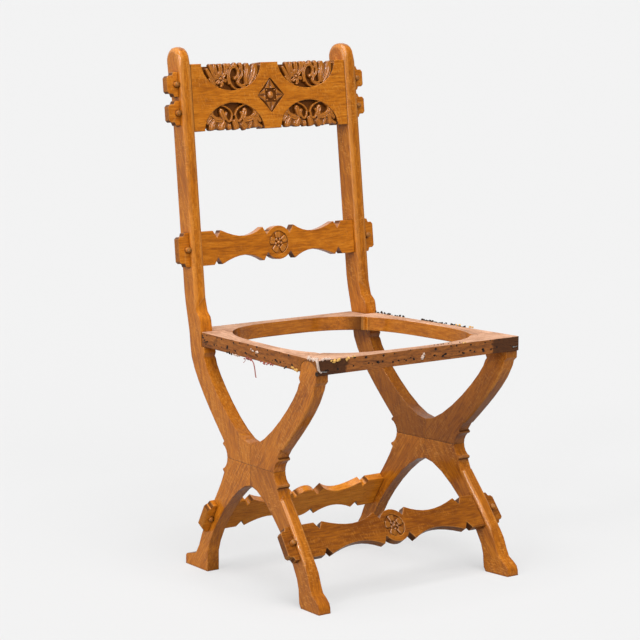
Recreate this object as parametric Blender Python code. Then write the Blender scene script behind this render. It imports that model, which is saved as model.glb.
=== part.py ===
"""Oak side chair frame with X-shaped side frames, a carved back and an open seat, in metres."""

import math
from typing import NamedTuple

import bmesh
import bpy
import numpy as np
from mathutils import Matrix, Vector
from mathutils.geometry import interpolate_bezier

# Overall sizes: the side frames close in towards the back by SIDE_SPLAY for each metre of depth
SEAT_TOP = 0.450
SEAT_FRONT_WIDTH = 0.471
SIDE_SPLAY = 0.0692
BOARD = 0.026
CLEARANCE = 0.0003

# Crossing of a side frame: reach and rise are measured from its centre
CROSS_HEIGHT = 0.229
COVE_REACH = 0.0775
COVE_RISE = 0.0225
COVE_LOW_PULL = 0.0101
COVE_HIGH_PULL = 0.009
COVE_HIGH_DIP = 0.0023
FILLET_REACH = 0.0925
FILLET_RISE = 0.0255
QUIRK = (0.0885, 0.029)
CROTCH_RISE = 0.038
INNER_PULL = 0.050

# Seat frame, with depths ahead of and behind the crossing
SEAT_RAIL_HEIGHT = 0.0267
SEAT_FRONT = 0.2135
SEAT_OVERHANG = 0.004
FRONT_RAIL_DEPTH = 0.063
SIDE_RAIL_WIDTH = 0.050
POST_SEAT_REACH = 0.1675
POST_SHOULDER = 0.012
REAR_RAIL_LIP = 0.026
REAR_RAIL_TONGUE = 0.044
OPENING_FRONT_RIM = 0.020
OPENING_SIDE_RIM = 0.025
OPENING_BACK_RIM = 0.025
OPENING_SQUARENESS = 3.2
OPENING_POINTS = 56

# Bead under the seat on both upper limbs, as reach past its nose and drop below the seat rails
BEAD = ((0.003, 0), (0.003, 0.0035), (0, 0.011), (0.0035, 0.0185))

# Front arm: capital under the front seat rail and the rounded tongue let into the rail
CAPITAL_WIDTH = 0.054
CAPITAL_HEIGHT = 0.013
TONGUE_STEP = 0.0005
TONGUE_TOP_DROP = 0.0045
TONGUE_CROWN = 0.016
TONGUE_THICKNESS = 0.012

# Back post above the seat: it leans back by POST_LEAN for each metre of height, and it leans
# outwards by POST_FLARE for each metre above the crossing
POST_LEAN = 0.115
POST_FLARE = 0.0055
POST_DEPTH = 0.0365
POST_STEP_LOW = (0.0035, 0.019)
POST_STEP_HIGH = (0.018, 0.041)
POST_BACK_HEIGHT = 0.070
POST_BACK_PULL = 0.030
HEAD_RADIUS = 0.0255
HEAD_ABOVE_CREST = 0.008
HEAD_BLEND = 0.069
HEAD_BACK_ANGLE = math.radians(-15)

# Feet, as reach past the toe and height above the floor
TOE_REACH = 0.2225
FRONT_TOE = ((-0.0235, 0.032), (-0.012, 0.0245), (-0.004, 0.0175), (-0.001, 0.010), (0, 0))
FRONT_HEEL = ((-0.057, 0), (-0.062, 0.0075), (-0.0635, 0.020))
REAR_TOE_REACH = 0.224
REAR_TOE = ((-0.0365, 0.0286), (-0.0335, 0.0265), (-0.0035, 0.020), (0, 0.0155), (0, 0))
REAR_HEEL = ((-0.0775, 0),)

# Softened arrises
HEAD_ROUND = 0.009
POST_ROUND = 0.004
ARM_ROUND = 0.004
LEG_ROUND = 0.006
ROUND_STOP = 0.020

# Rails that pass through the side frames, with reaches past the frames' outer faces
TENON_EAR = 0.0085
TENON_OGEE = 0.0045
TENON_CORNER = 0.004
PEG_RADIUS = 0.005
PEG_STAND_OFF = 0.0005
PEG_FRONT = 0.0095
PEG_BACK = 0.006
PEG_DOME = 0.002
PEG_CROWN_RADIUS = 0.003
PEG_CROWN_DROP = 0.0006

# Shaped outline of the waist rail and the stretchers
SHAPED_HEIGHT = 0.064
SHAPED_THICKNESS = 0.0155
SHAPED_TENON_TIP = 0.050
NOTCH_WIDTH = 0.018
NOTCH_DEPTH = 0.0135
SWEEP_DEPTH = 0.014
SWEEP_CENTRE_PULL = 0.30
SWEEP_END_PULL = 0.42
CENTRE_POINT = 0.0367
ROUNDEL_APEX = 0.027
DISH_RADIUS = 0.022
DISH_DEPTH = 0.003

# Crest rail, with its middle at a height above the seat
CREST_ABOVE_SEAT = 0.4275
CREST_SET_BACK = 0.003
CREST_HEIGHT = 0.125
CREST_THICKNESS = 0.027
CREST_REACH = 0.0245
CREST_SHOULDER = 0.008
CREST_TENON = 0.015
CREST_TENON_MARGIN = 0.013
CREST_TENON_GAP = 0.007
CREST_TENON_TAPER = 0.0065
LUNETTE_CENTRE = 0.089
LUNETTE_HALF_SPAN = 0.0685
LUNETTE_RISE = 0.051
LUNETTE_DEPTH = 0.009
LEAF_TIP_RISE = 0.005
LOZENGE_HALF_WIDTH = 0.0315
LOZENGE_HALF_HEIGHT = 0.033
LOZENGE_DEPTH = 0.004

# Waist rail and stretchers: a stretcher's face stands outside the middle line of its legs
WAIST_ABOVE_SEAT = 0.149
WAIST_SET_BACK = 0.0085
WAIST_REACH = 0.0235
WAIST_END_BLOCK = 0.030
FRONT_STRETCHER_HEIGHT = 0.1145
FRONT_STRETCHER_STAND = 0.0134
FRONT_STRETCHER_LEAN = math.radians(36)
FRONT_STRETCHER_REACH = 0.0215
FRONT_STRETCHER_END_BLOCK = 0.030
REAR_STRETCHER_HEIGHT = 0.113
REAR_STRETCHER_STAND = 0.0191
REAR_STRETCHER_LEAN = math.radians(30)
REAR_STRETCHER_REACH = 0.0185
REAR_STRETCHER_END_BLOCK = 0.038

# Hidden dowels
DOWEL_RADIUS = 0.004
DOWEL_LENGTH = 0.036
DOWEL_GAP = 0.0055
SEAM_DOWEL_RISE = 0.019
SEAM_DOWEL_REACH = 0.045

CURVE_STEPS = 9
SMALL_STEPS = 5
ROUND_STEPS = 16
ARRIS_STEPS = 3
SHARP_ANGLE = math.radians(35)
OVERRUN = 0.004
# A curve reaches three quarters of the way to two level handles
HANDLE_SHARE = 0.75

# Places that follow from the sizes above
SEAM = CLEARANCE / 2
CROTCH = (SEAM, CROTCH_RISE)
SEAT_RISE = SEAT_TOP - CROSS_HEIGHT
UNDERSIDE_RISE = SEAT_RISE - SEAT_RAIL_HEIGHT - CLEARANCE
CAPITAL_REACH = SEAT_FRONT - SEAT_OVERHANG
FRONT_JOINT = FRONT_RAIL_DEPTH - SEAT_FRONT
TONGUE_HALF_WIDTH = (CAPITAL_WIDTH - BEAD[0][0]) / 2 - TONGUE_STEP
TONGUE_REACH = CAPITAL_REACH - TONGUE_STEP - TONGUE_HALF_WIDTH
REAR_RAIL_FRONT = POST_SEAT_REACH - REAR_RAIL_LIP
REAR_RAIL_BACK = POST_SEAT_REACH + REAR_RAIL_TONGUE
BACK_LEAN = math.atan(POST_LEAN)
HEAD_RISE = SEAT_RISE + CREST_ABOVE_SEAT + CREST_HEIGHT / 2 + HEAD_ABOVE_CREST
CREST_TENON_EAR = CREST_HEIGHT / 2 - CREST_TENON_MARGIN - CREST_TENON_GAP / 2
CREST_TENON_TIP = CREST_TENON_EAR - 2 * CREST_TENON_TAPER
CREST_TENON_RISE = (CREST_TENON_EAR + CREST_TENON_GAP) / 2


def half_width(depth, flare=0, height=CROSS_HEIGHT):
    """Half the width over the outer faces of the side frames at a depth behind the crossing."""
    plain = SEAT_FRONT_WIDTH / 2 - SIDE_SPLAY * (depth + SEAT_FRONT)
    return plain + flare * (height - CROSS_HEIGHT)


def post_point(past, above):
    """Reach and rise of a point of a post, given from its notch at the top of the seat."""
    return (POST_SEAT_REACH + past, SEAT_RISE + above)


def post_front(rise):
    """Reach of the leaning front edge of a post at a rise above the crossing."""
    reach, start = post_point(*POST_STEP_HIGH)
    return reach + POST_LEAN * (rise - start)


def head_centre():
    """Reach and rise of the centre of a post's round head."""
    lean = Vector((1, -POST_LEAN)).normalized() * HEAD_RADIUS
    return Vector((post_front(HEAD_RISE), HEAD_RISE)) + lean


CROSS_DEPTH = (TOE_REACH - head_centre().x - HEAD_RADIUS) / 2


def curve(start, handles, steps=CURVE_STEPS):
    """Points of a curve from start through its two handles to its end."""
    knots = [Vector((*point, 0)) for point in (start, *handles)]
    return [(point.x, point.y) for point in interpolate_bezier(*knots, steps)]


def back_from(end, offsets):
    """Points given by their reach past a limb's end and their distance back from it in rise."""
    return [(end[0] + past, end[1] - back) for past, back in offsets]


class Edge(NamedTuple):
    """Curved edge of a limb: the first handle is measured from the crossing, the rest from its end."""

    pull: tuple
    handle: tuple
    stop: tuple

    def points(self, start, end):
        """Points from a start at the crossing towards the end of the limb."""
        return curve(start, (self.pull, *back_from(end, (self.handle, self.stop))))


UPPER_INNER = Edge((INNER_PULL, CROTCH_RISE), (-0.0015, 0.044), (0, 0.022))
ARM_OUTER = Edge((0.120, 0.062), (-0.0065, 0.057), (-0.007, 0.0195))
POST_OUTER = Edge((0.120, 0.062), (0.0375, 0.049), (0.0375, 0.004))


class Leg(NamedTuple):
    """A lower limb: both its edges, and the reach and outline of its foot."""

    inner: Edge
    outer: Edge
    toe: float
    foot: tuple

    def end(self):
        """Reach and rise of the toe on the floor."""
        return (self.toe, CROSS_HEIGHT)

    def middle(self, height):
        """Reach of the middle of the leg at a height above the floor."""
        total = 0
        for edge, start in ((self.inner, CROTCH), (self.outer, QUIRK)):
            reaches, falls = zip(*edge.points(start, self.end()))
            total += np.interp(CROSS_HEIGHT - height, falls, reaches)
        return total / 2


FRONT_LEG = Leg(
    inner=Edge((INNER_PULL, CROTCH_RISE), (-0.0665, 0.071), (-0.0645, 0.033)),
    outer=Edge((0.120, 0.070), (-0.0475, 0.099), (-0.0295, 0.044)),
    toe=TOE_REACH,
    foot=(*FRONT_TOE, *FRONT_HEEL),
)
REAR_LEG = Leg(
    inner=Edge((0.045, CROTCH_RISE), (-0.086, 0.084), (-0.0775, 0.037)),
    outer=Edge((0.105, 0.070), (-0.066, 0.099), (-0.048, 0.046)),
    toe=REAR_TOE_REACH,
    foot=(*REAR_TOE, *REAR_HEEL),
)


class Rail(NamedTuple):
    """A board across the chair: centre of its face, lean of that face and which way it looks."""

    depth: float
    height: float
    lean: float
    looks: int
    thickness: float
    flare: float
    reach: float
    tenon: float
    shoulder: float = 0
    end_block: float = 0

    def face(self):
        """Half the width over the side frames at the middle of the board."""
        return half_width(self.depth, self.flare, self.height)

    def place(self, across, up, inward):
        """World position of a point on the board, whose ends follow the splayed side frames."""
        depth = self.depth + self.looks * (
            up * math.sin(self.lean) + inward * math.cos(self.lean)
        )
        height = self.height + up * math.cos(self.lean) - inward * math.sin(self.lean)
        across *= half_width(depth, self.flare, height) / self.face()
        return Vector((across, CROSS_DEPTH + depth, height))


CREST = Rail(
    depth=post_front(SEAT_RISE + CREST_ABOVE_SEAT) + CREST_SET_BACK,
    height=SEAT_TOP + CREST_ABOVE_SEAT,
    lean=BACK_LEAN,
    looks=1,
    thickness=CREST_THICKNESS,
    flare=POST_FLARE,
    reach=CREST_REACH,
    tenon=CREST_TENON,
    shoulder=CREST_SHOULDER,
)
WAIST = Rail(
    depth=post_front(SEAT_RISE + WAIST_ABOVE_SEAT) + WAIST_SET_BACK,
    height=SEAT_TOP + WAIST_ABOVE_SEAT,
    lean=BACK_LEAN,
    looks=1,
    thickness=SHAPED_THICKNESS,
    flare=POST_FLARE,
    reach=WAIST_REACH,
    tenon=SHAPED_THICKNESS,
    end_block=WAIST_END_BLOCK,
)
FRONT_STRETCHER = Rail(
    depth=-FRONT_LEG.middle(FRONT_STRETCHER_HEIGHT) - FRONT_STRETCHER_STAND,
    height=FRONT_STRETCHER_HEIGHT,
    lean=FRONT_STRETCHER_LEAN,
    looks=1,
    thickness=SHAPED_THICKNESS,
    flare=0,
    reach=FRONT_STRETCHER_REACH,
    tenon=SHAPED_THICKNESS,
    end_block=FRONT_STRETCHER_END_BLOCK,
)
REAR_STRETCHER = Rail(
    depth=REAR_LEG.middle(REAR_STRETCHER_HEIGHT) + REAR_STRETCHER_STAND,
    height=REAR_STRETCHER_HEIGHT,
    lean=REAR_STRETCHER_LEAN,
    looks=-1,
    thickness=SHAPED_THICKNESS,
    flare=0,
    reach=REAR_STRETCHER_REACH,
    tenon=SHAPED_THICKNESS,
    end_block=REAR_STRETCHER_END_BLOCK,
)


def side_place(side, flare=0):
    """Placement of a point given by depth, height and distance in from a frame's outer face."""

    def place(depth, height, inset):
        across = half_width(depth, flare, height) - inset
        return Vector((side * across, CROSS_DEPTH + depth, height))

    return place


def plan_place(side):
    """Placement of a point of the seat frame given in plan."""

    def place(across, depth, height):
        return Vector((side * across, CROSS_DEPTH + depth, height))

    return place


def prism(outline, near, far):
    """Closed solid between two copies of an outline."""
    mesh = bmesh.new()
    order = mesh.verts.layers.int.new("order")
    ring = []
    for number, (a, b) in enumerate(outline):
        vert = mesh.verts.new((a, b, near))
        vert[order] = number
        ring.append(vert)
    face = mesh.faces.new(ring)
    grown = bmesh.ops.extrude_face_region(mesh, geom=[face])["geom"]
    moved = [item for item in grown if isinstance(item, bmesh.types.BMVert)]
    bmesh.ops.translate(mesh, verts=moved, vec=(0, 0, far - near))
    return mesh


def box(low, high):
    """Closed block between two corners."""
    (a0, b0, near), (a1, b1, far) = low, high
    return prism([(a0, b0), (a1, b0), (a1, b1), (a0, b1)], near, far)


def mark_arrises(mesh, first, last, share=1.0):
    """Marks both long edges of a prism between two points of its outline for rounding."""
    order = mesh.verts.layers.int["order"]
    weight = mesh.edges.layers.float.get("bevel_weight_edge")
    if weight is None:
        weight = mesh.edges.layers.float.new("bevel_weight_edge")
    for edge in mesh.edges:
        low, high = sorted(vert[order] for vert in edge.verts)
        if first <= low and high <= last and high - low == 1:
            edge[weight] = share


def rod(centre, axis, radius, length):
    """Closed cylinder along one axis of the piece it joins."""
    turn = Vector((0, 0, 1)).rotation_difference(axis).to_matrix().to_4x4()
    mesh = bmesh.new()
    bmesh.ops.create_cone(
        mesh,
        cap_ends=True,
        segments=ROUND_STEPS,
        radius1=radius,
        radius2=radius,
        depth=length,
        matrix=Matrix.Translation(centre) @ turn,
    )
    return mesh


def placed(mesh, place):
    """Carries a mesh from the coordinates of its piece into the chair."""
    for vert in mesh.verts:
        vert.co = place(*vert.co)
    mesh.normal_update()
    bmesh.ops.recalc_face_normals(mesh, faces=mesh.faces)
    return mesh


def merged(meshes):
    """One mesh that holds several closed bodies."""
    whole = bmesh.new()
    for mesh in meshes:
        data = bpy.data.meshes.new("part")
        mesh.to_mesh(data)
        mesh.free()
        whole.from_mesh(data)
        bpy.data.meshes.remove(data)
    return whole


def shade(data):
    data.shade_smooth()
    data.set_sharp_from_angle(angle=SHARP_ANGLE)


def new_object(name, mesh):
    data = bpy.data.meshes.new(name)
    mesh.to_mesh(data)
    mesh.free()
    shade(data)
    made = bpy.data.objects.new(name, data)
    bpy.context.scene.collection.objects.link(made)
    return made


def piece(name, mesh, material):
    made = new_object(name, mesh)
    made.data.materials.append(material)
    return made


def settle(target, step):
    """Turns a piece's modifier into plain mesh."""
    graph = bpy.context.evaluated_depsgraph_get()
    target.data = bpy.data.meshes.new_from_object(target.evaluated_get(graph))
    target.modifiers.remove(step)
    shade(target.data)


def soften(target, radius):
    """Rounds the marked edges of a piece."""
    step = target.modifiers.new("soften", "BEVEL")
    step.limit_method = "WEIGHT"
    step.width = radius
    step.segments = ARRIS_STEPS
    step.use_clamp_overlap = False
    settle(target, step)


def combine(target, kind, meshes):
    """Joins or cuts a piece with helper solids, which are then taken away."""
    helper = new_object(f"{target.name}_helper", merged(meshes))
    step = target.modifiers.new(kind.lower(), "BOOLEAN")
    step.operation = kind
    step.solver = "EXACT"
    step.use_self = True
    step.object = helper
    settle(target, step)
    bpy.data.objects.remove(helper)


def wood(name, colour, roughness):
    made = bpy.data.materials.new(name)
    made.use_nodes = True
    shader = made.node_tree.nodes["Principled BSDF"]
    shader.inputs["Base Color"].default_value = (*colour, 1)
    shader.inputs["Roughness"].default_value = roughness
    shader.inputs["Metallic"].default_value = 0
    return made


def limb(outer, inner, fore, up):
    """Outline of a limb from its quarter of the crossing out to its end and back.

    Also gives the numbers of the first and last point of its outer curve.
    """
    cove = curve(
        (COVE_REACH, SEAM),
        (
            (COVE_REACH, COVE_LOW_PULL),
            (FILLET_REACH - COVE_HIGH_PULL, COVE_RISE - COVE_HIGH_DIP),
            (FILLET_REACH, COVE_RISE),
        ),
        SMALL_STEPS,
    )
    crossing = [(SEAM, SEAM), *cove, (FILLET_REACH, FILLET_RISE)]
    points = [*crossing, *outer, *inner]
    outline = [(fore * reach, CROSS_HEIGHT + up * rise) for reach, rise in points]
    return outline, len(crossing), len(crossing) + CURVE_STEPS - 1


def upper_inner(nose_reach):
    """Bead under the seat and the inner edge of an upper limb, down to the crotch."""
    end = (nose_reach, UNDERSIDE_RISE)
    return [*back_from(end, BEAD), *reversed(UPPER_INNER.points(CROTCH, end))]


def arm_mesh():
    end = (CAPITAL_REACH, UNDERSIDE_RISE)
    outer = [*ARM_OUTER.points(QUIRK, end), *back_from(end, ((0, CAPITAL_HEIGHT), (0, 0)))]
    outline, first, last = limb(outer, upper_inner(CAPITAL_REACH - CAPITAL_WIDTH), -1, 1)
    mesh = prism(outline, 0, BOARD)
    mark_arrises(mesh, first + 1, last - 1)
    return mesh


def tongue_mesh(outside, spare):
    """Rounded tongue on the outer half of an arm, larger by a spare amount.

    It starts at a distance outside the outer face of the side frame.
    """
    width = TONGUE_HALF_WIDTH + spare
    shoulder = SEAT_TOP - TONGUE_TOP_DROP + spare - TONGUE_CROWN
    low = CROSS_HEIGHT + UNDERSIDE_RISE - CAPITAL_HEIGHT
    crown = []
    for step in range(CURVE_STEPS):
        angle = math.pi * step / (CURVE_STEPS - 1)
        depth = width * math.cos(angle) - TONGUE_REACH
        crown.append((depth, shoulder + TONGUE_CROWN * math.sin(angle)))
    foot = [(-TONGUE_REACH - width, low), (-TONGUE_REACH + width, low)]
    return prism([*crown, *foot], -outside, TONGUE_THICKNESS + spare)


def head_outline():
    """Edge of a post's round head, from its front line over the top to its back line."""
    centre = head_centre()
    start = math.pi - BACK_LEAN
    arc = []
    for step in range(CURVE_STEPS + 1):
        angle = start + (HEAD_BACK_ANGLE - start) * step / CURVE_STEPS
        arc.append(centre + HEAD_RADIUS * Vector((math.cos(angle), math.sin(angle))))
    down = Vector((math.sin(HEAD_BACK_ANGLE), -math.cos(HEAD_BACK_ANGLE)))
    blend_rise = HEAD_RISE - HEAD_BLEND
    back = Vector((post_front(blend_rise) + POST_DEPTH, blend_rise))
    along = Vector((POST_LEAN, 1))
    blend = curve(
        arc[-1],
        (arc[-1] + HEAD_RADIUS * down, back + HEAD_RADIUS * along, back),
        SMALL_STEPS,
    )
    return [tuple(point) for point in arc] + blend[1:]


def post_mesh():
    lower = POST_OUTER.points(QUIRK, (POST_SEAT_REACH, UNDERSIDE_RISE))
    foot = lower[-1]
    back_rise = SEAT_RISE + POST_BACK_HEIGHT
    back = (post_front(back_rise) + POST_DEPTH, back_rise)
    middle_back = curve(
        foot,
        (
            (foot[0], foot[1] + POST_BACK_PULL),
            (back[0] - POST_LEAN * POST_BACK_PULL, back[1] - POST_BACK_PULL),
            back,
        ),
        SMALL_STEPS,
    )
    low = post_point(*POST_STEP_LOW)
    high = post_point(*POST_STEP_HIGH)
    middle = (low[1] + high[1]) / 2
    step = curve(high, ((high[0], middle), (low[0], middle), low), SMALL_STEPS)
    stop_rise = high[1] + ROUND_STOP
    head = [(post_front(stop_rise), stop_rise), *head_outline()]
    seat = [(POST_SEAT_REACH, SEAT_RISE), (POST_SEAT_REACH, UNDERSIDE_RISE)]
    climb = [*lower, *middle_back[1:]]
    outline, first, _ = limb(
        [*climb, *reversed(head), *step, *seat],
        upper_inner(POST_SEAT_REACH - POST_SHOULDER),
        1,
        1,
    )
    mesh = prism(outline, 0, BOARD)
    head_start = first + len(climb)
    front_start = head_start + len(head) - 1
    mark_arrises(mesh, head_start + SMALL_STEPS - 2, front_start - 1)
    mark_arrises(mesh, front_start - 1, front_start, POST_ROUND / HEAD_ROUND)
    return mesh


def leg_mesh(leg, fore):
    """A lower limb, and the numbers of the first and last point of its outer curve."""
    end = leg.end()
    outer = [*leg.outer.points(QUIRK, end), *back_from(end, leg.foot)]
    inner = reversed(leg.inner.points(CROTCH, end))
    outline, first, last = limb(outer, inner, fore, -1)
    return prism(outline, 0, BOARD), first, last


def front_leg_mesh():
    mesh, first, last = leg_mesh(FRONT_LEG, -1)
    mark_arrises(mesh, first + 1, last - 2)
    return mesh


def rear_leg_mesh():
    return leg_mesh(REAR_LEG, 1)[0]


def tenon_end(rail, rise, ear, tip):
    """Upper edge to lower edge of a through-tenon that leaves the outer face of a frame."""
    face = rail.face()
    ear /= 2
    tip /= 2
    start = face + TENON_EAR
    stop = start + TENON_OGEE
    middle = (start + stop) / 2
    ogee = curve((start, ear), ((middle, ear), (middle, tip), (stop, tip)), SMALL_STEPS)
    end = face + rail.reach
    upper = [*ogee, (end - TENON_CORNER, tip), (end, tip - TENON_CORNER)]
    lower = [(across, -up) for across, up in reversed(upper)]
    return [(across, rise + up) for across, up in [*upper, *lower]]


def doubled(half):
    """Full outline of a rail from its right half, listed from the top round to the bottom."""
    return half + [(-across, up) for across, up in reversed(half) if across > 0]


def shaped_outline(rail):
    """Outline of a rail with a roundel, two sweeps and notched end blocks."""
    face = rail.face()
    top = SHAPED_HEIGHT / 2
    block = face - BOARD - rail.end_block
    point = block - NOTCH_WIDTH
    span = point - CENTRE_POINT
    inner = CENTRE_POINT + SWEEP_CENTRE_PULL * span
    outer = point - SWEEP_END_PULL * span
    low = top - SWEEP_DEPTH / HANDLE_SHARE
    roundel = []
    for step in range(SMALL_STEPS):
        angle = math.asin(ROUNDEL_APEX / top) * step / (SMALL_STEPS - 1)
        roundel.append((top * math.sin(angle), top * math.cos(angle)))
    sweep = curve(
        (CENTRE_POINT, top),
        ((inner, low), (outer, low), (point, top)),
    )
    notch = [(block - NOTCH_WIDTH / 2, top - NOTCH_DEPTH), (block, top)]
    upper = [*roundel, *sweep, *notch]
    lower = [(across, -up) for across, up in reversed(upper)]
    return doubled([*upper, *tenon_end(rail, 0, SHAPED_HEIGHT, SHAPED_TENON_TIP), *lower])


def crest_outline():
    face = CREST.face()
    shoulder = face - BOARD - CLEARANCE
    top = CREST_HEIGHT / 2
    ear = CREST_TENON_EAR / 2
    right = [(shoulder, top)]
    for rise in (CREST_TENON_RISE, -CREST_TENON_RISE):
        right.append((shoulder, rise + ear))
        right.extend(tenon_end(CREST, rise, CREST_TENON_EAR, CREST_TENON_TIP))
        right.append((shoulder, rise - ear))
    right.append((shoulder, -top))
    return doubled(right)


def shoulder_cutters(rail, height):
    """Solids that thin both ends of a rail down to its tenons, where the tenons are thinner."""
    if rail.tenon == rail.thickness:
        return []
    face = rail.face()
    start = face - BOARD - CLEARANCE
    stop = face + rail.reach + OVERRUN
    reach = height / 2 + OVERRUN
    slices = (
        (-OVERRUN, rail.shoulder),
        (rail.shoulder + rail.tenon, rail.thickness + OVERRUN),
    )
    cutters = []
    for side in (-1, 1):
        ends = sorted((side * start, side * stop))
        for near, far in slices:
            block = box((ends[0], -reach, near), (ends[1], reach, far))
            cutters.append(placed(block, rail.place))
    return cutters


def mortise_cutter(rail, side, rise, height):
    """Hole in a side frame for one tenon."""
    face = rail.face()
    ends = sorted((side * (face - BOARD - OVERRUN), side * (face + OVERRUN)))
    half = height / 2 + CLEARANCE
    low = (ends[0], rise - half, rail.shoulder - CLEARANCE)
    high = (ends[1], rise + half, rail.shoulder + rail.tenon + CLEARANCE)
    return placed(box(low, high), rail.place)


def peg_axis(rail, side, rise):
    """Point where a peg's axis meets the middle of its tenon."""
    across = rail.face() + PEG_STAND_OFF + PEG_RADIUS
    return Vector((side * across, rise, rail.shoulder + rail.tenon / 2))


def peg_mesh(rail, side, rise):
    """Round peg with domed ends that locks a tenon outside the frame."""
    near = rail.shoulder - PEG_FRONT
    far = rail.shoulder + rail.tenon + PEG_BACK
    profile = [
        (0, near),
        (PEG_CROWN_RADIUS, near + PEG_CROWN_DROP),
        (PEG_RADIUS, near + PEG_DOME),
        (PEG_RADIUS, far - PEG_DOME),
        (PEG_CROWN_RADIUS, far - PEG_CROWN_DROP),
        (0, far),
    ]
    mesh = bmesh.new()
    verts = [mesh.verts.new((radius, 0, inward)) for radius, inward in profile]
    edges = [mesh.edges.new(pair) for pair in zip(verts, verts[1:])]
    bmesh.ops.spin(
        mesh,
        geom=[*verts, *edges],
        cent=(0, 0, 0),
        axis=(0, 0, 1),
        angle=2 * math.pi,
        steps=ROUND_STEPS,
    )
    bmesh.ops.remove_doubles(mesh, verts=mesh.verts, dist=CLEARANCE / 10)
    axis = peg_axis(rail, side, rise)
    bmesh.ops.translate(mesh, verts=mesh.verts, vec=(axis.x, axis.y, 0))
    return placed(mesh, rail.place)


def peg_hole(rail, side, rise):
    hole = rod(
        peg_axis(rail, side, rise),
        Vector((0, 0, 1)),
        PEG_RADIUS + CLEARANCE,
        rail.tenon + 2 * OVERRUN,
    )
    return placed(hole, rail.place)


def lunette_cutters(side, edge):
    """Half-oval recess in the face of the crest rail, open at its top or bottom edge.

    Along that edge the whole thickness is cut back, so that only leaf tips reach it.
    """
    top = CREST_HEIGHT / 2
    past = top + OVERRUN
    points = []
    for step in range(2 * CURVE_STEPS):
        angle = math.pi * step / (2 * CURVE_STEPS - 1)
        across = side * LUNETTE_CENTRE + LUNETTE_HALF_SPAN * math.cos(angle)
        points.append((across, edge * (top - LUNETTE_RISE * math.sin(angle))))
    for across in (points[-1][0], points[0][0]):
        points.append((across, edge * past))
    low, high = sorted((edge * (top - LEAF_TIP_RISE), edge * past))
    reach = LUNETTE_HALF_SPAN + CLEARANCE
    strip = box(
        (side * LUNETTE_CENTRE - reach, low, -OVERRUN),
        (side * LUNETTE_CENTRE + reach, high, CREST_THICKNESS + OVERRUN),
    )
    recess = prism(points, -OVERRUN, LUNETTE_DEPTH)
    return [placed(cutter, CREST.place) for cutter in (recess, strip)]


def lozenge_cutter():
    points = [
        (LOZENGE_HALF_WIDTH, 0),
        (0, LOZENGE_HALF_HEIGHT),
        (-LOZENGE_HALF_WIDTH, 0),
        (0, -LOZENGE_HALF_HEIGHT),
    ]
    return placed(prism(points, -OVERRUN, LOZENGE_DEPTH), CREST.place)


def dish_cutter(rail):
    """Round sunk field inside the rim of a roundel."""
    depth = OVERRUN + DISH_DEPTH
    centre = Vector((0, 0, DISH_DEPTH - depth / 2))
    return placed(rod(centre, Vector((0, 0, 1)), DISH_RADIUS, depth), rail.place)


def seat_opening():
    """Squarish oval hole of the seat frame, which narrows with the frame."""
    front = OPENING_FRONT_RIM - SEAT_FRONT
    back = REAR_RAIL_BACK - OPENING_BACK_RIM
    middle = (front + back) / 2
    half_depth = (back - front) / 2
    right = []
    left = []
    count = OPENING_POINTS // 2
    for step in range(count + 1):
        along = -math.cos(math.pi * step / count)
        depth = middle + half_depth * along
        bulge = (1 - abs(along) ** OPENING_SQUARENESS) ** (1 / OPENING_SQUARENESS)
        across = (half_width(depth) - OPENING_SIDE_RIM) * bulge
        right.append((across, depth))
        if 0 < step < count:
            left.append((-across, depth))
    low = SEAT_TOP - SEAT_RAIL_HEIGHT - OVERRUN
    mesh = prism([*right, *reversed(left)], low, SEAT_TOP + OVERRUN)
    return placed(mesh, plan_place(1))


def front_rail_outline():
    ends = [(half_width(depth), depth) for depth in (-SEAT_FRONT, FRONT_JOINT)]
    return [*ends, *[(-across, depth) for across, depth in reversed(ends)]]


def side_rail_outline():
    front = FRONT_JOINT + CLEARANCE
    back = POST_SEAT_REACH - CLEARANCE
    outer = [(half_width(depth), depth) for depth in (front, back)]
    inner = [(across - SIDE_RAIL_WIDTH, depth) for across, depth in reversed(outer)]
    return [*outer, *inner]


def rear_rail_outline():
    """Plan of the rear rail, whose front corners sit between the side rails."""
    step = POST_SEAT_REACH
    right = [
        (half_width(REAR_RAIL_FRONT) - SIDE_RAIL_WIDTH - CLEARANCE, REAR_RAIL_FRONT),
        (half_width(step) - SIDE_RAIL_WIDTH - CLEARANCE, step),
        (half_width(step) - BOARD - CLEARANCE, step),
        (half_width(REAR_RAIL_BACK) - BOARD - CLEARANCE, REAR_RAIL_BACK),
    ]
    return [*right, *[(-across, depth) for across, depth in reversed(right)]]


def seat_slab(outline, side=1):
    mesh = prism(outline, SEAT_TOP - SEAT_RAIL_HEIGHT, SEAT_TOP)
    return placed(mesh, plan_place(side))


class Dowel(NamedTuple):
    """A hidden dowel of a side frame: the pieces it joins, its middle and its axis."""

    name: str
    joins: tuple
    depth: float
    height: float
    inset: float
    axis: tuple

    def solid(self, side, spare=0):
        """Its solid on one side of the chair, larger all round by a spare amount."""
        centre = Vector((self.depth, self.height, self.inset))
        length = DOWEL_LENGTH + 2 * spare
        mesh = rod(centre, Vector(self.axis), DOWEL_RADIUS + spare, length)
        return placed(mesh, side_place(side))


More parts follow.
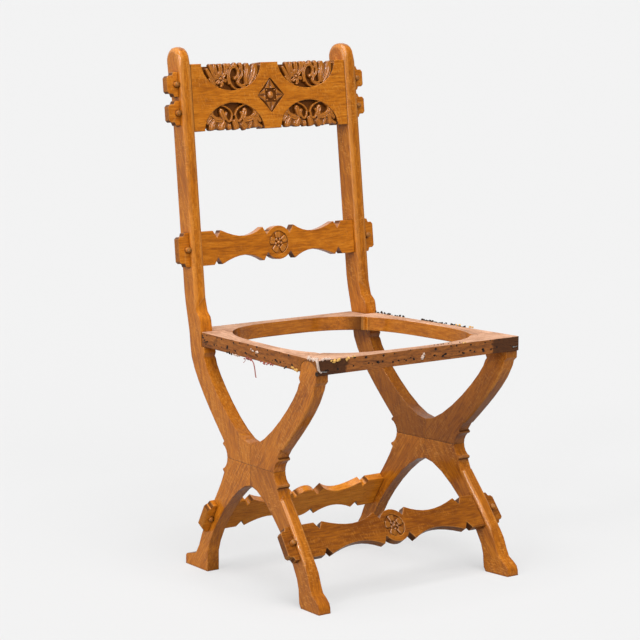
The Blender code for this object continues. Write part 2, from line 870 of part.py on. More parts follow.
def side_dowels():
    """Dowels of the crossing and of the seat corners of one side."""
    depthwise, upright, crosswise = (1, 0, 0), (0, 1, 0), (0, 0, 1)
    middle = BOARD / 2
    seat = SEAT_TOP - SEAT_RAIL_HEIGHT / 2
    upper = CROSS_HEIGHT + SEAM_DOWEL_RISE
    lower = CROSS_HEIGHT - SEAM_DOWEL_RISE
    rail_middle = SIDE_RAIL_WIDTH / 2
    front = FRONT_JOINT + CLEARANCE / 2
    rear = POST_SEAT_REACH + DOWEL_LENGTH / 2 + DOWEL_RADIUS + DOWEL_GAP
    reach = SEAM_DOWEL_REACH
    return [
        Dowel("upper_seam", ("post", "arm"), 0, upper, middle, depthwise),
        Dowel("lower_seam", ("front_leg", "rear_leg"), 0, lower, middle, depthwise),
        Dowel("rear_seam", ("post", "rear_leg"), reach, CROSS_HEIGHT, middle, upright),
        Dowel("front_seam", ("arm", "front_leg"), -reach, CROSS_HEIGHT, middle, upright),
        Dowel("side_rail_back", ("post", "seat_rail"), POST_SEAT_REACH, seat, middle, depthwise),
        Dowel("side_rail_front", ("front_rail", "seat_rail"), front, seat, rail_middle, depthwise),
        Dowel("rear_rail", ("post", "rear_rail"), rear, seat, BOARD, crosswise),
    ]


def build_side(side, name, oak, bare, dowel_wood, cuts):
    """Pieces of one side frame, and the cutters that its neighbours need."""
    limbs = {
        "post": post_mesh(),
        "arm": arm_mesh(),
        "front_leg": front_leg_mesh(),
        "rear_leg": rear_leg_mesh(),
    }
    rounding = {"post": HEAD_ROUND, "arm": ARM_ROUND, "front_leg": LEG_ROUND}
    made = {}
    for key, mesh in limbs.items():
        flare = POST_FLARE if key == "post" else 0
        made[key] = piece(f"{name}_{key}", placed(mesh, side_place(side, flare)), oak)
        if key in rounding:
            soften(made[key], rounding[key])
        cuts[made[key].name] = []
    made["seat_rail"] = piece(f"seat_{name}_rail", seat_slab(side_rail_outline(), side), bare)
    cuts[made["seat_rail"].name] = [seat_opening()]
    combine(made["arm"], "UNION", [placed(tongue_mesh(-TONGUE_STEP, 0), side_place(side))])
    cuts["seat_front_rail"].append(placed(tongue_mesh(OVERRUN, CLEARANCE), side_place(side)))
    for dowel in side_dowels():
        piece(f"{name}_{dowel.name}_dowel", dowel.solid(side), dowel_wood)
        for target in dowel.joins:
            owner = made[target].name if target in made else f"seat_{target}"
            cuts[owner].append(dowel.solid(side, CLEARANCE))
    post_cuts = cuts[f"{name}_post"]
    for rise in (CREST_TENON_RISE, -CREST_TENON_RISE):
        post_cuts.append(mortise_cutter(CREST, side, rise, CREST_TENON_EAR))
    post_cuts.append(mortise_cutter(WAIST, side, 0, SHAPED_HEIGHT))
    cuts[f"{name}_front_leg"].append(mortise_cutter(FRONT_STRETCHER, side, 0, SHAPED_HEIGHT))
    cuts[f"{name}_rear_leg"].append(mortise_cutter(REAR_STRETCHER, side, 0, SHAPED_HEIGHT))


def build_rail(name, rail, outline, height, carving, tenon_rises, oak, cuts):
    """A through-rail with its carved recesses, its tenons and its pegs."""
    piece(name, placed(prism(outline, 0, rail.thickness), rail.place), oak)
    cuts[name] = [*shoulder_cutters(rail, height), *carving]
    for side, word in ((-1, "left"), (1, "right")):
        for label, rise in tenon_rises:
            cuts[name].append(peg_hole(rail, side, rise))
            piece(f"{name}_{word}_{label}peg", peg_mesh(rail, side, rise), oak)


def main():
    for old in list(bpy.data.objects):
        bpy.data.objects.remove(old)
    oak = wood("varnished_oak", (0.42, 0.19, 0.05), 0.35)
    bare = wood("bare_oak", (0.50, 0.30, 0.17), 0.7)
    dowel_wood = wood("dowel_wood", (0.60, 0.42, 0.22), 0.7)
    cuts = {"seat_front_rail": [seat_opening()], "seat_rear_rail": [seat_opening()]}
    piece("seat_front_rail", seat_slab(front_rail_outline()), bare)
    piece("seat_rear_rail", seat_slab(rear_rail_outline()), bare)
    for side, name in ((-1, "left"), (1, "right")):
        build_side(side, name, oak, bare, dowel_wood, cuts)
    carving = [lozenge_cutter()]
    for side in (-1, 1):
        for edge in (-1, 1):
            carving.extend(lunette_cutters(side, edge))
    pairs = (("upper_", CREST_TENON_RISE), ("lower_", -CREST_TENON_RISE))
    build_rail("crest_rail", CREST, crest_outline(), CREST_HEIGHT, carving, pairs, oak, cuts)
    shaped = (
        ("waist_rail", WAIST),
        ("front_stretcher", FRONT_STRETCHER),
        ("rear_stretcher", REAR_STRETCHER),
    )
    for name, rail in shaped:
        outline = shaped_outline(rail)
        dish = [dish_cutter(rail)]
        build_rail(name, rail, outline, SHAPED_HEIGHT, dish, (("", 0),), oak, cuts)
    for name, cutters in cuts.items():
        combine(bpy.data.objects[name], "DIFFERENCE", cutters)


main()
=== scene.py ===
"""Looks of a carved oak side chair without its seat cover: timber, carving, tacked rails and studio."""

import itertools
import logging
import math
import random
from dataclasses import dataclass, field, replace
from enum import Enum
from typing import Any, Callable, Iterable, Optional, Sequence, Union

import bmesh
import bpy
from mathutils import Matrix, Vector


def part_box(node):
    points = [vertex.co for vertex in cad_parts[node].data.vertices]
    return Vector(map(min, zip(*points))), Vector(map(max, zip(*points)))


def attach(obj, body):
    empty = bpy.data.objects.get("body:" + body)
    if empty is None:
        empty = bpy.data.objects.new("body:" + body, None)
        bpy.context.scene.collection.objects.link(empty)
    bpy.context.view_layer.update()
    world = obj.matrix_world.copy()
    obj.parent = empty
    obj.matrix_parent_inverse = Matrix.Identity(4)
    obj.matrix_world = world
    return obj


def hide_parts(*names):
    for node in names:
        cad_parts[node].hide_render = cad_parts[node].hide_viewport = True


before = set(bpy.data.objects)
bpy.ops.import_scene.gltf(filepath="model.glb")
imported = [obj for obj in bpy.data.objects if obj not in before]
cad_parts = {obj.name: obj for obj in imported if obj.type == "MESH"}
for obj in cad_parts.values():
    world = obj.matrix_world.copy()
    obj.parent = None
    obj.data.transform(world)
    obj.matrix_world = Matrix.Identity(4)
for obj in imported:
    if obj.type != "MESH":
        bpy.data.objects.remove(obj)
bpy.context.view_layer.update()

LOG = logging.getLogger("chair")
BODY = "root"
UP = Vector((0, 0, 1))

Colour = tuple[float, float, float]
Number = Union["Value", float]
Point = tuple[float, float]

MM = 0.001
MERGE = 0.00002
FLAT_ANGLE = math.radians(0.6)
ARRIS_ANGLE = math.radians(32)
SHARP_ANGLE = math.radians(48)
STRIP_WIDTH = 0.0045
EDGE_DROP = 0.96
ACROSS_CHAIR = (1, 0, 0)
GROUND_FINISH = 1
CORNER_SAMPLES = 6
MID_TONE = 0.5

# Places of the sockets that are told apart by number
MIX_INPUTS = (0, 6, 7)
MIX_COLOUR = 2
NOISE_COLOUR = 1
DOT_NUMBER = 1
SURFACE_NORMAL = 1
OPENNESS = 1
ATTRIBUTE_NUMBER = 2
OBJECT_PLACE = 3
GLOSSY_RAY = 3


class Slot(Enum):
    """Material slots of the part."""

    VARNISHED = "varnished_oak"
    BARE = "bare_oak"
    DOWEL = "dowel_wood"


class RailFace(Enum):
    """Kinds of surface on a seat rail, in the order of its materials."""

    INNER = 0
    TOP = 1
    OUTER = 2
    HOLE = 3


class Place(Enum):
    """A place on the chair that lends its name to pieces."""

    @property
    def word(self) -> str:
        """Name of the place in lower case."""
        return self.name.lower()


class Side(Place):
    """Sides of the chair as someone in front of it sees them."""

    LEFT = -1
    RIGHT = 1


class Rim(Place):
    """Long edges of the crest rail."""

    UPPER = 1
    LOWER = -1


class Value:
    """A shader socket that takes part in Python arithmetic by adding Math nodes."""

    def __init__(self, graph: "Graph", socket: bpy.types.NodeSocket) -> None:
        """Wrap an output socket of a finish."""
        self.graph = graph
        self.socket = socket

    def math(self, operation: str, first: Number, second: Number = 0.0) -> "Value":
        """Math node on one or two inputs."""
        return self.graph.node("ShaderNodeMath", {"operation": operation}, {0: first, 1: second})

    def __add__(self, other: Number) -> "Value":
        """Sum."""
        return self.math("ADD", self, other)

    def __radd__(self, other: Number) -> "Value":
        """Sum with a number on the left."""
        return self.math("ADD", other, self)

    def __sub__(self, other: Number) -> "Value":
        """Difference."""
        return self.math("SUBTRACT", self, other)

    def __rsub__(self, other: Number) -> "Value":
        """Difference with a number on the left."""
        return self.math("SUBTRACT", other, self)

    def __mul__(self, other: Number) -> "Value":
        """Product."""
        return self.math("MULTIPLY", self, other)

    def __rmul__(self, other: Number) -> "Value":
        """Product with a number on the left."""
        return self.math("MULTIPLY", other, self)

    def __abs__(self) -> "Value":
        """Size without sign."""
        return self.math("ABSOLUTE", self)

    def step(self, low: float, high: float) -> "Value":
        """Smooth step from 0 at low to 1 at high."""
        sockets = {"Value": self, "From Min": low, "From Max": high}
        return self.graph.node("ShaderNodeMapRange", {"interpolation_type": "SMOOTHSTEP"}, sockets)


class Graph:
    """The node tree of one finish, or of the studio's world."""

    def __init__(self, name: str, owner: Optional[bpy.types.ID] = None) -> None:
        """Start an empty tree.

        Args:
            name: Name of the material.
            owner: What holds the tree, where it isn't a new material.
        """
        self.owner = owner or bpy.data.materials.new(name)
        self.owner.use_nodes = True
        self.tree = self.owner.node_tree
        self.tree.nodes.clear()

    def node(
        self,
        kind: str,
        settings: Optional[dict[str, Any]] = None,
        sockets: Optional[dict[Union[int, str], Any]] = None,
        output: int = 0,
    ) -> Value:
        """Add any node.

        Args:
            kind: The node's type.
            settings: Properties of the node, or stops for a colour ramp.
            sockets: Values or links of its inputs, by name or place.
            output: Which output is returned.

        Returns:
            That output.
        """
        made = self.tree.nodes.new(kind)
        for name, value in (settings or {}).items():
            if name == "stops":
                self._set_stops(made.color_ramp, value)
            else:
                setattr(made, name, value)
        for key, value in (sockets or {}).items():
            self._feed(made.inputs[key], value)
        return Value(self, made.outputs[output])

    def _feed(self, socket: bpy.types.NodeSocket, value: Any) -> None:
        """Link or set one input.

        Args:
            socket: The input.
            value: A value of the tree, a number, a colour or a vector.
        """
        if isinstance(value, Value):
            self.tree.links.new(value.socket, socket)
        elif socket.type == "RGBA" and len(value) == 3:
            socket.default_value = (*value, 1.0)
        else:
            socket.default_value = value

    @staticmethod
    def _set_stops(ramp: bpy.types.ColorRamp, stops: Sequence[tuple[float, Colour]]) -> None:
        """Give a ramp its colours.

        Args:
            ramp: The ramp.
            stops: Places from 0 to 1 and the colour at each.
        """
        while len(ramp.elements) < len(stops):
            ramp.elements.new(0.5)
        for element, (place, colour) in zip(ramp.elements, stops):
            element.position = place
            element.color = (*colour, 1.0)

    def noise(self, vector: Value, detail: float = 2.0, output: int = 0, **more: float) -> Value:
        """Noise at the scale that its vector already has."""
        sockets = {"Vector": vector, "Scale": 1.0, "Detail": detail}
        return self.node("ShaderNodeTexNoise", None, {**sockets, **more}, output)

    def vector(self, operation: str, *operands: Any, output: int = 0) -> Value:
        """Vector Math on two or three operands."""
        sockets = dict(enumerate(operands))
        return self.node("ShaderNodeVectorMath", {"operation": operation}, sockets, output)

    def mix(self, share: Number, first: Any, second: Any) -> Value:
        """Mix two colours."""
        sockets = dict(zip(MIX_INPUTS, (share, first, second)))
        return self.node("ShaderNodeMix", {"data_type": "RGBA"}, sockets, MIX_COLOUR)

    def ramp(self, value: Value, stops: Sequence[tuple[float, Colour]]) -> Value:
        """Colour ramp."""
        return self.node("ShaderNodeValToRGB", {"stops": stops}, {0: value})

    def attribute(self, name: str) -> Value:
        """A number that the mesh carries."""
        return self.node("ShaderNodeAttribute", {"attribute_name": name}, output=ATTRIBUTE_NUMBER)

    def place(self) -> Value:
        """Position on the piece, in metres."""
        return self.node("ShaderNodeTexCoord", output=OBJECT_PLACE)

    def axis(self, vector: Value, which: int) -> Value:
        """One coordinate of a vector."""
        return self.node("ShaderNodeSeparateXYZ", None, {0: vector}, which)

    def corner_shade(self, reach: float) -> Value:
        """How deep in a corner the surface lies, from 0 in the open to 1: the mask of painted shade in
        corners.
        """
        settings = {"samples": CORNER_SAMPLES}
        return 1.0 - self.node("ShaderNodeAmbientOcclusion", settings, {"Distance": reach}, OPENNESS)

    def bump(self, height: Value, depth: float, strength: float = 1.0, rounding: float = 0.0) -> Value:
        """Bend the surface's normal.

        Args:
            height: Height of the surface, from about 0 to 1.
            depth: What a height of 1 stands for, in metres.
            strength: Share of the bend.
            rounding: Radius by which worn edges look rounded.

        Returns:
            The bent normal.
        """
        sockets = {"Height": height, "Distance": depth, "Strength": strength}
        if rounding:
            settings = {"samples": CORNER_SAMPLES}
            sockets["Normal"] = self.node("ShaderNodeBevel", settings, {"Radius": rounding})
        return self.node("ShaderNodeBump", None, sockets)

    def surface(self, **sockets: Any) -> bpy.types.Material:
        """Close the tree with a Principled BSDF, whose inputs are named with underscores for blanks."""
        named = {key.replace("_", " "): value for key, value in sockets.items()}
        return self.close(self.node("ShaderNodeBsdfPrincipled", None, named))

    def close(self, shader: Value, kind: str = "ShaderNodeOutputMaterial") -> bpy.types.ID:
        """Lead a shader to the tree's output, and give what holds the tree."""
        self._feed(self.tree.nodes.new(kind).inputs["Surface"], shader)
        return self.owner


class OakFigure:
    """Figure of quarter-sawn oak laid along a direction."""

    def __init__(self, graph: Graph, along: Vector, shift: float = 0.0) -> None:
        """Work out the masks of the figure.

        Args:
            graph: The finish that shows it.
            along: The way that the grain runs.
            shift: Offset that tells one board from another.
        """
        self.graph = graph
        turn = along.rotation_difference(Vector((1, 0, 0))).to_euler()
        sockets = {"Vector": graph.place(), "Rotation": turn, "Location": (shift, shift, shift)}
        flat = graph.node("ShaderNodeMapping", {"vector_type": "POINT"}, sockets)
        sway = graph.noise(graph.vector("MULTIPLY", flat, (5.0, 16.0, 16.0)), 2.0, NOISE_COLOUR)
        self.place = graph.vector("MULTIPLY_ADD", sway, (0.0, 0.012, 0.012), flat)
        facing = graph.node("ShaderNodeNewGeometry", output=SURFACE_NORMAL)
        self.ends = abs(graph.vector("DOT_PRODUCT", facing, along, output=DOT_NUMBER))
        self.rings = self.noise(42.0, 330.0, 2.0)
        self.streaks = self.noise(6.0, 120.0, 3.0)
        self.mottle = self.noise(9.0, 24.0, 3.0)
        self.pores = self.noise(130.0, 1500.0, 1.0).step(0.60, 0.72)
        slant = {"Vector": self.place, "Rotation": (0.0, 0.35, 0.45)}
        slanted = graph.node("ShaderNodeMapping", {"vector_type": "POINT"}, slant)
        rays = graph.noise(graph.vector("MULTIPLY", slanted, (430.0, 115.0, 115.0)), 1.0, Distortion=0.4)
        self.rays = rays.step(0.54, 0.66) * self.noise(14.0, 30.0, 1.0).step(0.38, 0.58)
        self.wave = graph.noise(graph.vector("MULTIPLY", flat, (22.0, 60.0, 60.0)), 1.0)

    def noise(self, along: float, across: float, detail: float) -> Value:
        """Noise with a number of waves to the metre along the grain and another across it."""
        scale = (along, across, across)
        return self.graph.noise(self.graph.vector("MULTIPLY", self.place, scale), detail)

    def tone(self, level: float, **weights: float) -> Value:
        """Lightness about a level.

        Args:
            level: The middle of its range.
            weights: How far each named mask of the figure moves it.

        Returns:
            A number that is low in dark grain and high in pale grain.
        """
        total = level
        for mask, weight in weights.items():
            total = total + (getattr(self, mask) - MID_TONE) * weight
        return total


def stained(share: float, *colours: Colour) -> tuple[Colour, ...]:
    """Colours darkened by a share."""
    return tuple(tuple(part * (1 - share) for part in colour) for colour in colours)


@dataclass(frozen=True)
class VarnishedOak:
    """Old amber varnish over quarter-sawn oak, rubbed along its arrises, with painted shade in its corners
    and, where asked, below the seat.
    """

    name: str
    along: tuple[float, float, float]
    shift: float = 0.0
    rays: float = 0.5
    tone: float = 0.0
    stain: float = 0.0
    cut_ends: float = 0.9
    sawn_ends: float = 0.4
    seat_shade: float = 0.0
    coat: float = 0.80
    rounding: float = 0.0030
    seat_shade_reach: tuple[float, float] = (0.28, 0.43)
    cut_facing: tuple[float, float] = (0.42, 0.72)
    sawn_facing: tuple[float, float] = (0.90, 0.99)
    corner_reach: float = 0.012
    corner_soil: float = 0.75
    grain_depth: float = 0.0007
    deep: Colour = (0.270, 0.068, 0.003)
    amber: Colour = (0.520, 0.155, 0.006)
    honey: Colour = (0.700, 0.255, 0.022)
    pore: Colour = (0.170, 0.040, 0.003)
    fleck: Colour = (0.700, 0.290, 0.050)
    soil: Colour = (0.070, 0.017, 0.002)
    rubbed: Colour = (0.720, 0.310, 0.070)
    end_grain: Colour = (0.080, 0.023, 0.003)

    def build(self) -> bpy.types.Material:
        """Make the material.

        Returns:
            A varnished oak whose grain follows the timber.
        """
        graph = Graph(self.name)
        figure = OakFigure(graph, Vector(self.along), self.shift)
        tone = figure.tone(MID_TONE + self.tone, rings=0.95, streaks=0.55, mottle=0.5)
        deep, amber, honey = stained(self.stain, self.deep, self.amber, self.honey)
        colour = graph.ramp(tone, [(0.12, deep), (0.5, amber), (0.9, honey)])
        colour = graph.mix(figure.rays * self.rays, colour, self.fleck)
        spared = max(0.0, self.cut_ends - self.sawn_ends)
        ends = figure.ends.step(*self.cut_facing) * self.cut_ends
        ends = ends - figure.ends.step(*self.sawn_facing) * spared
        colour = graph.mix(ends, colour, self.end_grain)
        colour = graph.mix(figure.pores * 0.55, colour, self.pore)
        colour = graph.mix(graph.attribute("arris") * figure.mottle * 0.5, colour, self.rubbed)
        # Painted shade: darker the deeper the surface lies in a corner.
        corner_shade = graph.corner_shade(self.corner_reach).step(0.25, 0.95) * self.corner_soil
        colour = graph.mix(corner_shade, colour, self.soil)
        # Painted shade below the seat: the lower the point, down to the lower of the two heights, the
        # darker.
        if self.seat_shade:
            low = 1 - graph.axis(graph.place(), 2).step(*self.seat_shade_reach)
            colour = graph.mix(low * self.seat_shade, colour, self.soil)
        height = figure.rings * 0.25 + figure.wave * 1.6 - figure.pores * 0.35 + figure.rays * 0.12
        return graph.surface(
            Base_Color=colour,
            Roughness=0.46 + (figure.mottle - MID_TONE) * 0.22 + figure.pores * 0.10,
            Coat_Weight=(1 - corner_shade) * (1 - ends * 0.9) * self.coat,
            Coat_Roughness=0.11,
            Specular_IOR_Level=0.12,
            Normal=graph.bump(height, self.grain_depth, 0.7, self.rounding),
        )


@dataclass(frozen=True)
class CarvedOak:
    """Varnished carving: bright on its crowns, stained dark down in its ground, with painted shade in its
    crevices.
    """

    name: str
    stain: float = 0.0
    ground: Colour = (0.150, 0.045, 0.006)
    slope: Colour = (0.200, 0.060, 0.006)
    crown: Colour = (0.430, 0.140, 0.012)
    rubbed: Colour = (0.560, 0.220, 0.040)
    soil: Colour = (0.030, 0.009, 0.002)
    corner_reach: float = 0.004
    grain_depth: float = 0.0004

    def build(self) -> bpy.types.Material:
        """Make the material.

        Returns:
            A finish that follows the height of the carving.
        """
        graph = Graph(self.name)
        figure = OakFigure(graph, Vector(ACROSS_CHAIR), 0.4)
        relief = graph.attribute("relief") + (figure.mottle - MID_TONE) * 0.25
        ground, slope, crown = stained(self.stain, self.ground, self.slope, self.crown)
        colour = graph.ramp(relief, [(0.10, ground), (0.50, slope), (0.85, crown)])
        rubbed = relief.step(0.85, 1.05) * figure.mottle * (0.35 - self.stain * 0.7)
        colour = graph.mix(rubbed, colour, self.rubbed)
        colour = graph.mix(figure.pores * 0.4, colour, self.slope)
        # Painted shade in the carving's crevices.
        colour = graph.mix(graph.corner_shade(self.corner_reach).step(0.35, 0.95) * 0.85, colour, self.soil)
        height = figure.rings * 0.3 + figure.wave * 0.8 - figure.pores * 0.3
        return graph.surface(
            Base_Color=colour,
            Roughness=0.36 + (figure.mottle - MID_TONE) * 0.25,
            Coat_Weight=0.9 * relief.step(0.2, 0.7),
            Coat_Roughness=0.06,
            Specular_IOR_Level=0.20,
            Normal=graph.bump(height, self.grain_depth, 0.6),
        )


@dataclass(frozen=True)
class BareOak:
    """Unfinished oak under a lost cover: pale and pinkish, scuffed, with grey dust in its pores and painted
    shade in its corners.
    """

    name: str
    along: tuple[float, float, float]
    pale: Colour = (0.700, 0.410, 0.265)
    tan: Colour = (0.500, 0.258, 0.148)
    dust: Colour = (0.230, 0.120, 0.070)
    corner_reach: float = 0.010
    grain_depth: float = 0.0008

    def build(self) -> bpy.types.Material:
        """Make the material.

        Returns:
            A dry, matt oak.
        """
        graph = Graph(self.name)
        figure = OakFigure(graph, Vector(self.along), 0.2)
        scuffs = figure.noise(40.0, 120.0, 4.0)
        tone = figure.tone(0.55, rings=0.9, mottle=0.9)
        colour = graph.ramp(tone, [(0.15, self.dust), (0.5, self.tan), (0.75, self.pale)])
        colour = graph.mix(figure.pores * 0.5, colour, self.dust)
        colour = graph.mix(scuffs.step(0.58, 0.72) * 0.5, colour, self.pale)
        # Painted shade in corners.
        colour = graph.mix(graph.corner_shade(self.corner_reach).step(0.2, 0.9) * 0.7, colour, self.dust)
        height = figure.rings * 0.5 - figure.pores * 0.8 + scuffs * 0.8
        return graph.surface(
            Base_Color=colour,
            Roughness=0.72 + (scuffs - MID_TONE) * 0.2,
            Specular_IOR_Level=0.25,
            Normal=graph.bump(height, self.grain_depth, 0.8),
        )


@dataclass(frozen=True)
class TackedOak:
    """Outer face of a seat rail where cloth was nailed: brown and soiled, with painted shade in its corners
    and round its tack holes.
    """

    name: str
    along: tuple[float, float, float]
    brown: Colour = (0.310, 0.104, 0.025)
    russet: Colour = (0.440, 0.160, 0.037)
    soil: Colour = (0.085, 0.034, 0.018)
    blackened_and_shade: Colour = (0.050, 0.020, 0.010)
    patch_start: float = 1.0
    patch_fade: float = 0.006
    patch_stray: float = 0.02
    corner_reach: float = 0.008
    grain_depth: float = 0.0008

    def build(self) -> bpy.types.Material:
        """Make the material.

        Returns:
            A soiled oak, blackened past a distance from the middle of the chair.
        """
        graph = Graph(self.name)
        figure = OakFigure(graph, Vector(self.along), 0.7)
        stains = figure.noise(55.0, 140.0, 4.0)
        blots = stains - MID_TONE
        tone = figure.tone(MID_TONE, rings=0.8, streaks=0.8) + blots * 0.7
        colour = graph.ramp(tone, [(0.15, self.soil), (0.5, self.brown), (0.85, self.russet)])
        colour = graph.mix(figure.pores * 0.6, colour, self.soil)
        colour = graph.mix(stains.step(0.56, 0.70) * 0.55, colour, self.soil)
        reach = abs(graph.axis(graph.place(), 0)) + blots * self.patch_stray
        dark = reach.step(self.patch_start, self.patch_start + self.patch_fade)
        colour = graph.mix(dark * 0.85, colour, self.blackened_and_shade)
        # Painted shade in corners and round the tack holes.
        colour = graph.mix(graph.corner_shade(self.corner_reach).step(0.25, 0.9) * 0.7, colour, self.blackened_and_shade)
        height = figure.rings * 0.4 - figure.pores * 0.6 + stains * 1.2
        return graph.surface(
            Base_Color=colour,
            Roughness=0.62 + blots * 0.25,
            Specular_IOR_Level=0.15,
            Normal=graph.bump(height, self.grain_depth, 0.8),
        )


@dataclass(frozen=True)
class Spotted:
    """Scrap, hole or fitting in two colours that run into each other in spots."""

    name: str
    first: Colour
    second: Colour
    scale: float = 900.0
    detail: float = 3.0
    edges: tuple[float, float] = (0.3, 0.7)
    roughness: float = 0.85
    unevenness: float = 0.2
    specular: float = 0.15
    metallic: float = 0.0
    depth: float = 0.0006

    def build(self) -> bpy.types.Material:
        """Make the material.

        Returns:
            An uneven finish.
        """
        graph = Graph(self.name)
        spots = graph.noise(graph.vector("MULTIPLY", graph.place(), (self.scale,) * 3), self.detail)
        return graph.surface(
            Base_Color=graph.mix(spots.step(*self.edges), self.first, self.second),
            Roughness=self.roughness + (spots - MID_TONE) * self.unevenness,
            Specular_IOR_Level=self.specular,
            Metallic=self.metallic,
            Normal=graph.bump(spots, self.depth),
        )


TACK_HOLE = Spotted(
    "tack_hole",
    (0.012, 0.006, 0.004),
    (0.060, 0.024, 0.012),
    scale=700.0,
    detail=2.0,
    edges=(0.45, 0.65),
    roughness=0.8,
    specular=0.5,
    depth=0.0003,
)
STAPLE_STEEL = Spotted(
    "staple_steel",
    (0.72, 0.72, 0.70),
    (0.38, 0.36, 0.33),
    scale=1200.0,
    detail=2.0,
    edges=(0.4, 0.7),
    roughness=0.425,
    unevenness=0.25,
    specular=0.5,
    metallic=1.0,
    depth=0.0001,
)


def run_of(node: str) -> tuple[float, float, float]:
    """Direction in which a timber runs, from one end of its longest extent to the other.

    Args:
        node: Name of the timber's solid.

    Returns:
        A unit direction.
    """
    low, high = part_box(node)
    spans = high - low
    axis = max(range(3), key=lambda which: spans[which])
    points = sorted((vertex.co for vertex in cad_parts[node].data.vertices), key=lambda co: co[axis])
    share = max(1, len(points) // 8)
    start = sum(points[:share], Vector()) / share
    end = sum(points[-share:], Vector()) / share
    return tuple((end - start).normalized())


def add_piece(
    name: str,
    shape: Union[bmesh.types.BMesh, bpy.types.Mesh],
    finishes: Iterable[bpy.types.Material],
    slot: Slot,
    *nodes: str,
) -> None:
    """Put a finished mesh on the chair.

    Args:
        name: The piece's name.
        shape: Its mesh, in place.
        finishes: Its materials.
        slot: The part's material slot that it follows; not used.
        nodes: Solids that it stands for, whose broad faces then shade flat up to their arrises.
    """
    if isinstance(shape, bmesh.types.BMesh):
        data = bpy.data.meshes.new(name)
        shape.to_mesh(data)
        shape.free()
    else:
        data = shape
    data.name = name
    data.shade_smooth()
    data.set_sharp_from_angle(angle=SHARP_ANGLE)
    if not data.materials:
        for finish in finishes:
            data.materials.append(finish)
    piece = bpy.data.objects.new(name, data)
    bpy.context.scene.collection.objects.link(piece)
    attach(piece, BODY)
    if nodes:
        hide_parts(*nodes)
        piece.modifiers.new("flat_faces", "WEIGHTED_NORMAL").keep_sharp = True
    LOG.info("%s: %d faces", name, len(data.polygons))


def settled(blank: bpy.types.Object) -> bpy.types.Mesh:
    """Mesh of a helper object with its modifiers applied; the helper is taken away.

    Args:
        blank: The helper.

    Returns:
        The evaluated mesh.
    """
    graph = bpy.context.evaluated_depsgraph_get()
    mesh = bpy.data.meshes.new_from_object(blank.evaluated_get(graph))
    bpy.data.objects.remove(blank)
    return mesh


def helper(name: str, shape: bmesh.types.BMesh) -> bpy.types.Object:
    """Object that only lends its mesh to another.

    Args:
        name: Its name.
        shape: Its mesh, which is used up.

    Returns:
        The linked object.
    """
    data = bpy.data.meshes.new(name)
    shape.to_mesh(data)
    shape.free()
    made = bpy.data.objects.new(name, data)
    bpy.context.scene.collection.objects.link(made)
    return made


@dataclass(frozen=True)
class Panel:
    """A broad face of a timber, with axes of its own."""

    centre: Vector
    across: Vector
    up: Vector
    out: Vector
    half_length: float
    half_height: float

    @classmethod
    def of(cls, node: str, facing: Vector, closeness: float = 0.7) -> "Panel":
        """Find the face of a solid that looks a given way.

        Args:
            node: Name of the solid.
            facing: The way that the face looks.
            closeness: Least cosine between a face's normal and that way.

        Returns:
            The panel on the outermost such face.
        """
        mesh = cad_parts[node].data
        faces = [face for face in mesh.polygons if face.normal.dot(facing) > closeness]
        broad = max(faces, key=lambda face: face.area)
        out = broad.normal.normalized()
        across = UP.cross(out).normalized()
        up = out.cross(across)
        points = [mesh.vertices[index].co for face in faces for index in face.vertices]
        middle, halves = [], []
        for axis in (across, up):
            reach = [point.dot(axis) for point in points]
            middle.append((max(reach) + min(reach)) / 2)
            halves.append((max(reach) - min(reach)) / 2)
        depth = max(point.dot(out) for point in points)
        centre = across * middle[0] + up * middle[1] + out * depth
        return cls(centre, across, up, out, halves[0], halves[1])

    def place(self, across: float, up: float, out: float) -> Vector:
        """Point at a place on the panel."""
        return self.centre + self.across * across + self.up * up + self.out * out

    def height(self, point: Vector) -> float:
        """How far a point stands out of the panel."""
        return (point - self.centre).dot(self.out)

    def frame_at(self, across: float, up: float, out: float) -> Matrix:
        """Matrix whose Z axis stands out of the panel at a place."""
        axes = Matrix((self.across, self.up, self.out)).transposed().to_4x4()
        return Matrix.Translation(self.place(across, up, out)) @ axes


@dataclass(frozen=True)
class Spine:
    """A smooth line on a panel through a few points."""

    knots: tuple[Point, ...]

    def at(self, share: float) -> tuple[Vector, Vector]:
        """Follow the line.

        Args:
            share: How far along, from 0 to 1.

        Returns:
            The point and the unit direction there.
        """
        last = len(self.knots) - 1
        index = min(int(share * last), last - 1)
        rest = share * last - index
        picks = [min(max(index + step, 0), last) for step in (-1, 0, 1, 2)]
        before, start, end, after = (Vector(self.knots[pick]) for pick in picks)
        leave, arrive = (end - before) / 2, (after - start) / 2
        two, three = rest * rest, rest**3
        point = start * (2 * three - 3 * two + 1) + leave * (three - 2 * two + rest)
        point = point + end * (3 * two - 2 * three) + arrive * (three - two)
        way = (start - end) * (6 * two - 6 * rest) + leave * (3 * two - 4 * rest + 1)
        way = way + arrive * (3 * two - 2 * rest)
        return point, way.normalized()


def rounded(aside: float) -> float:
    """Height of a rounded section at a place across it from -1 to 1, as a share of its crown."""
    return math.sqrt(1 - min(EDGE_DROP, aside**4))


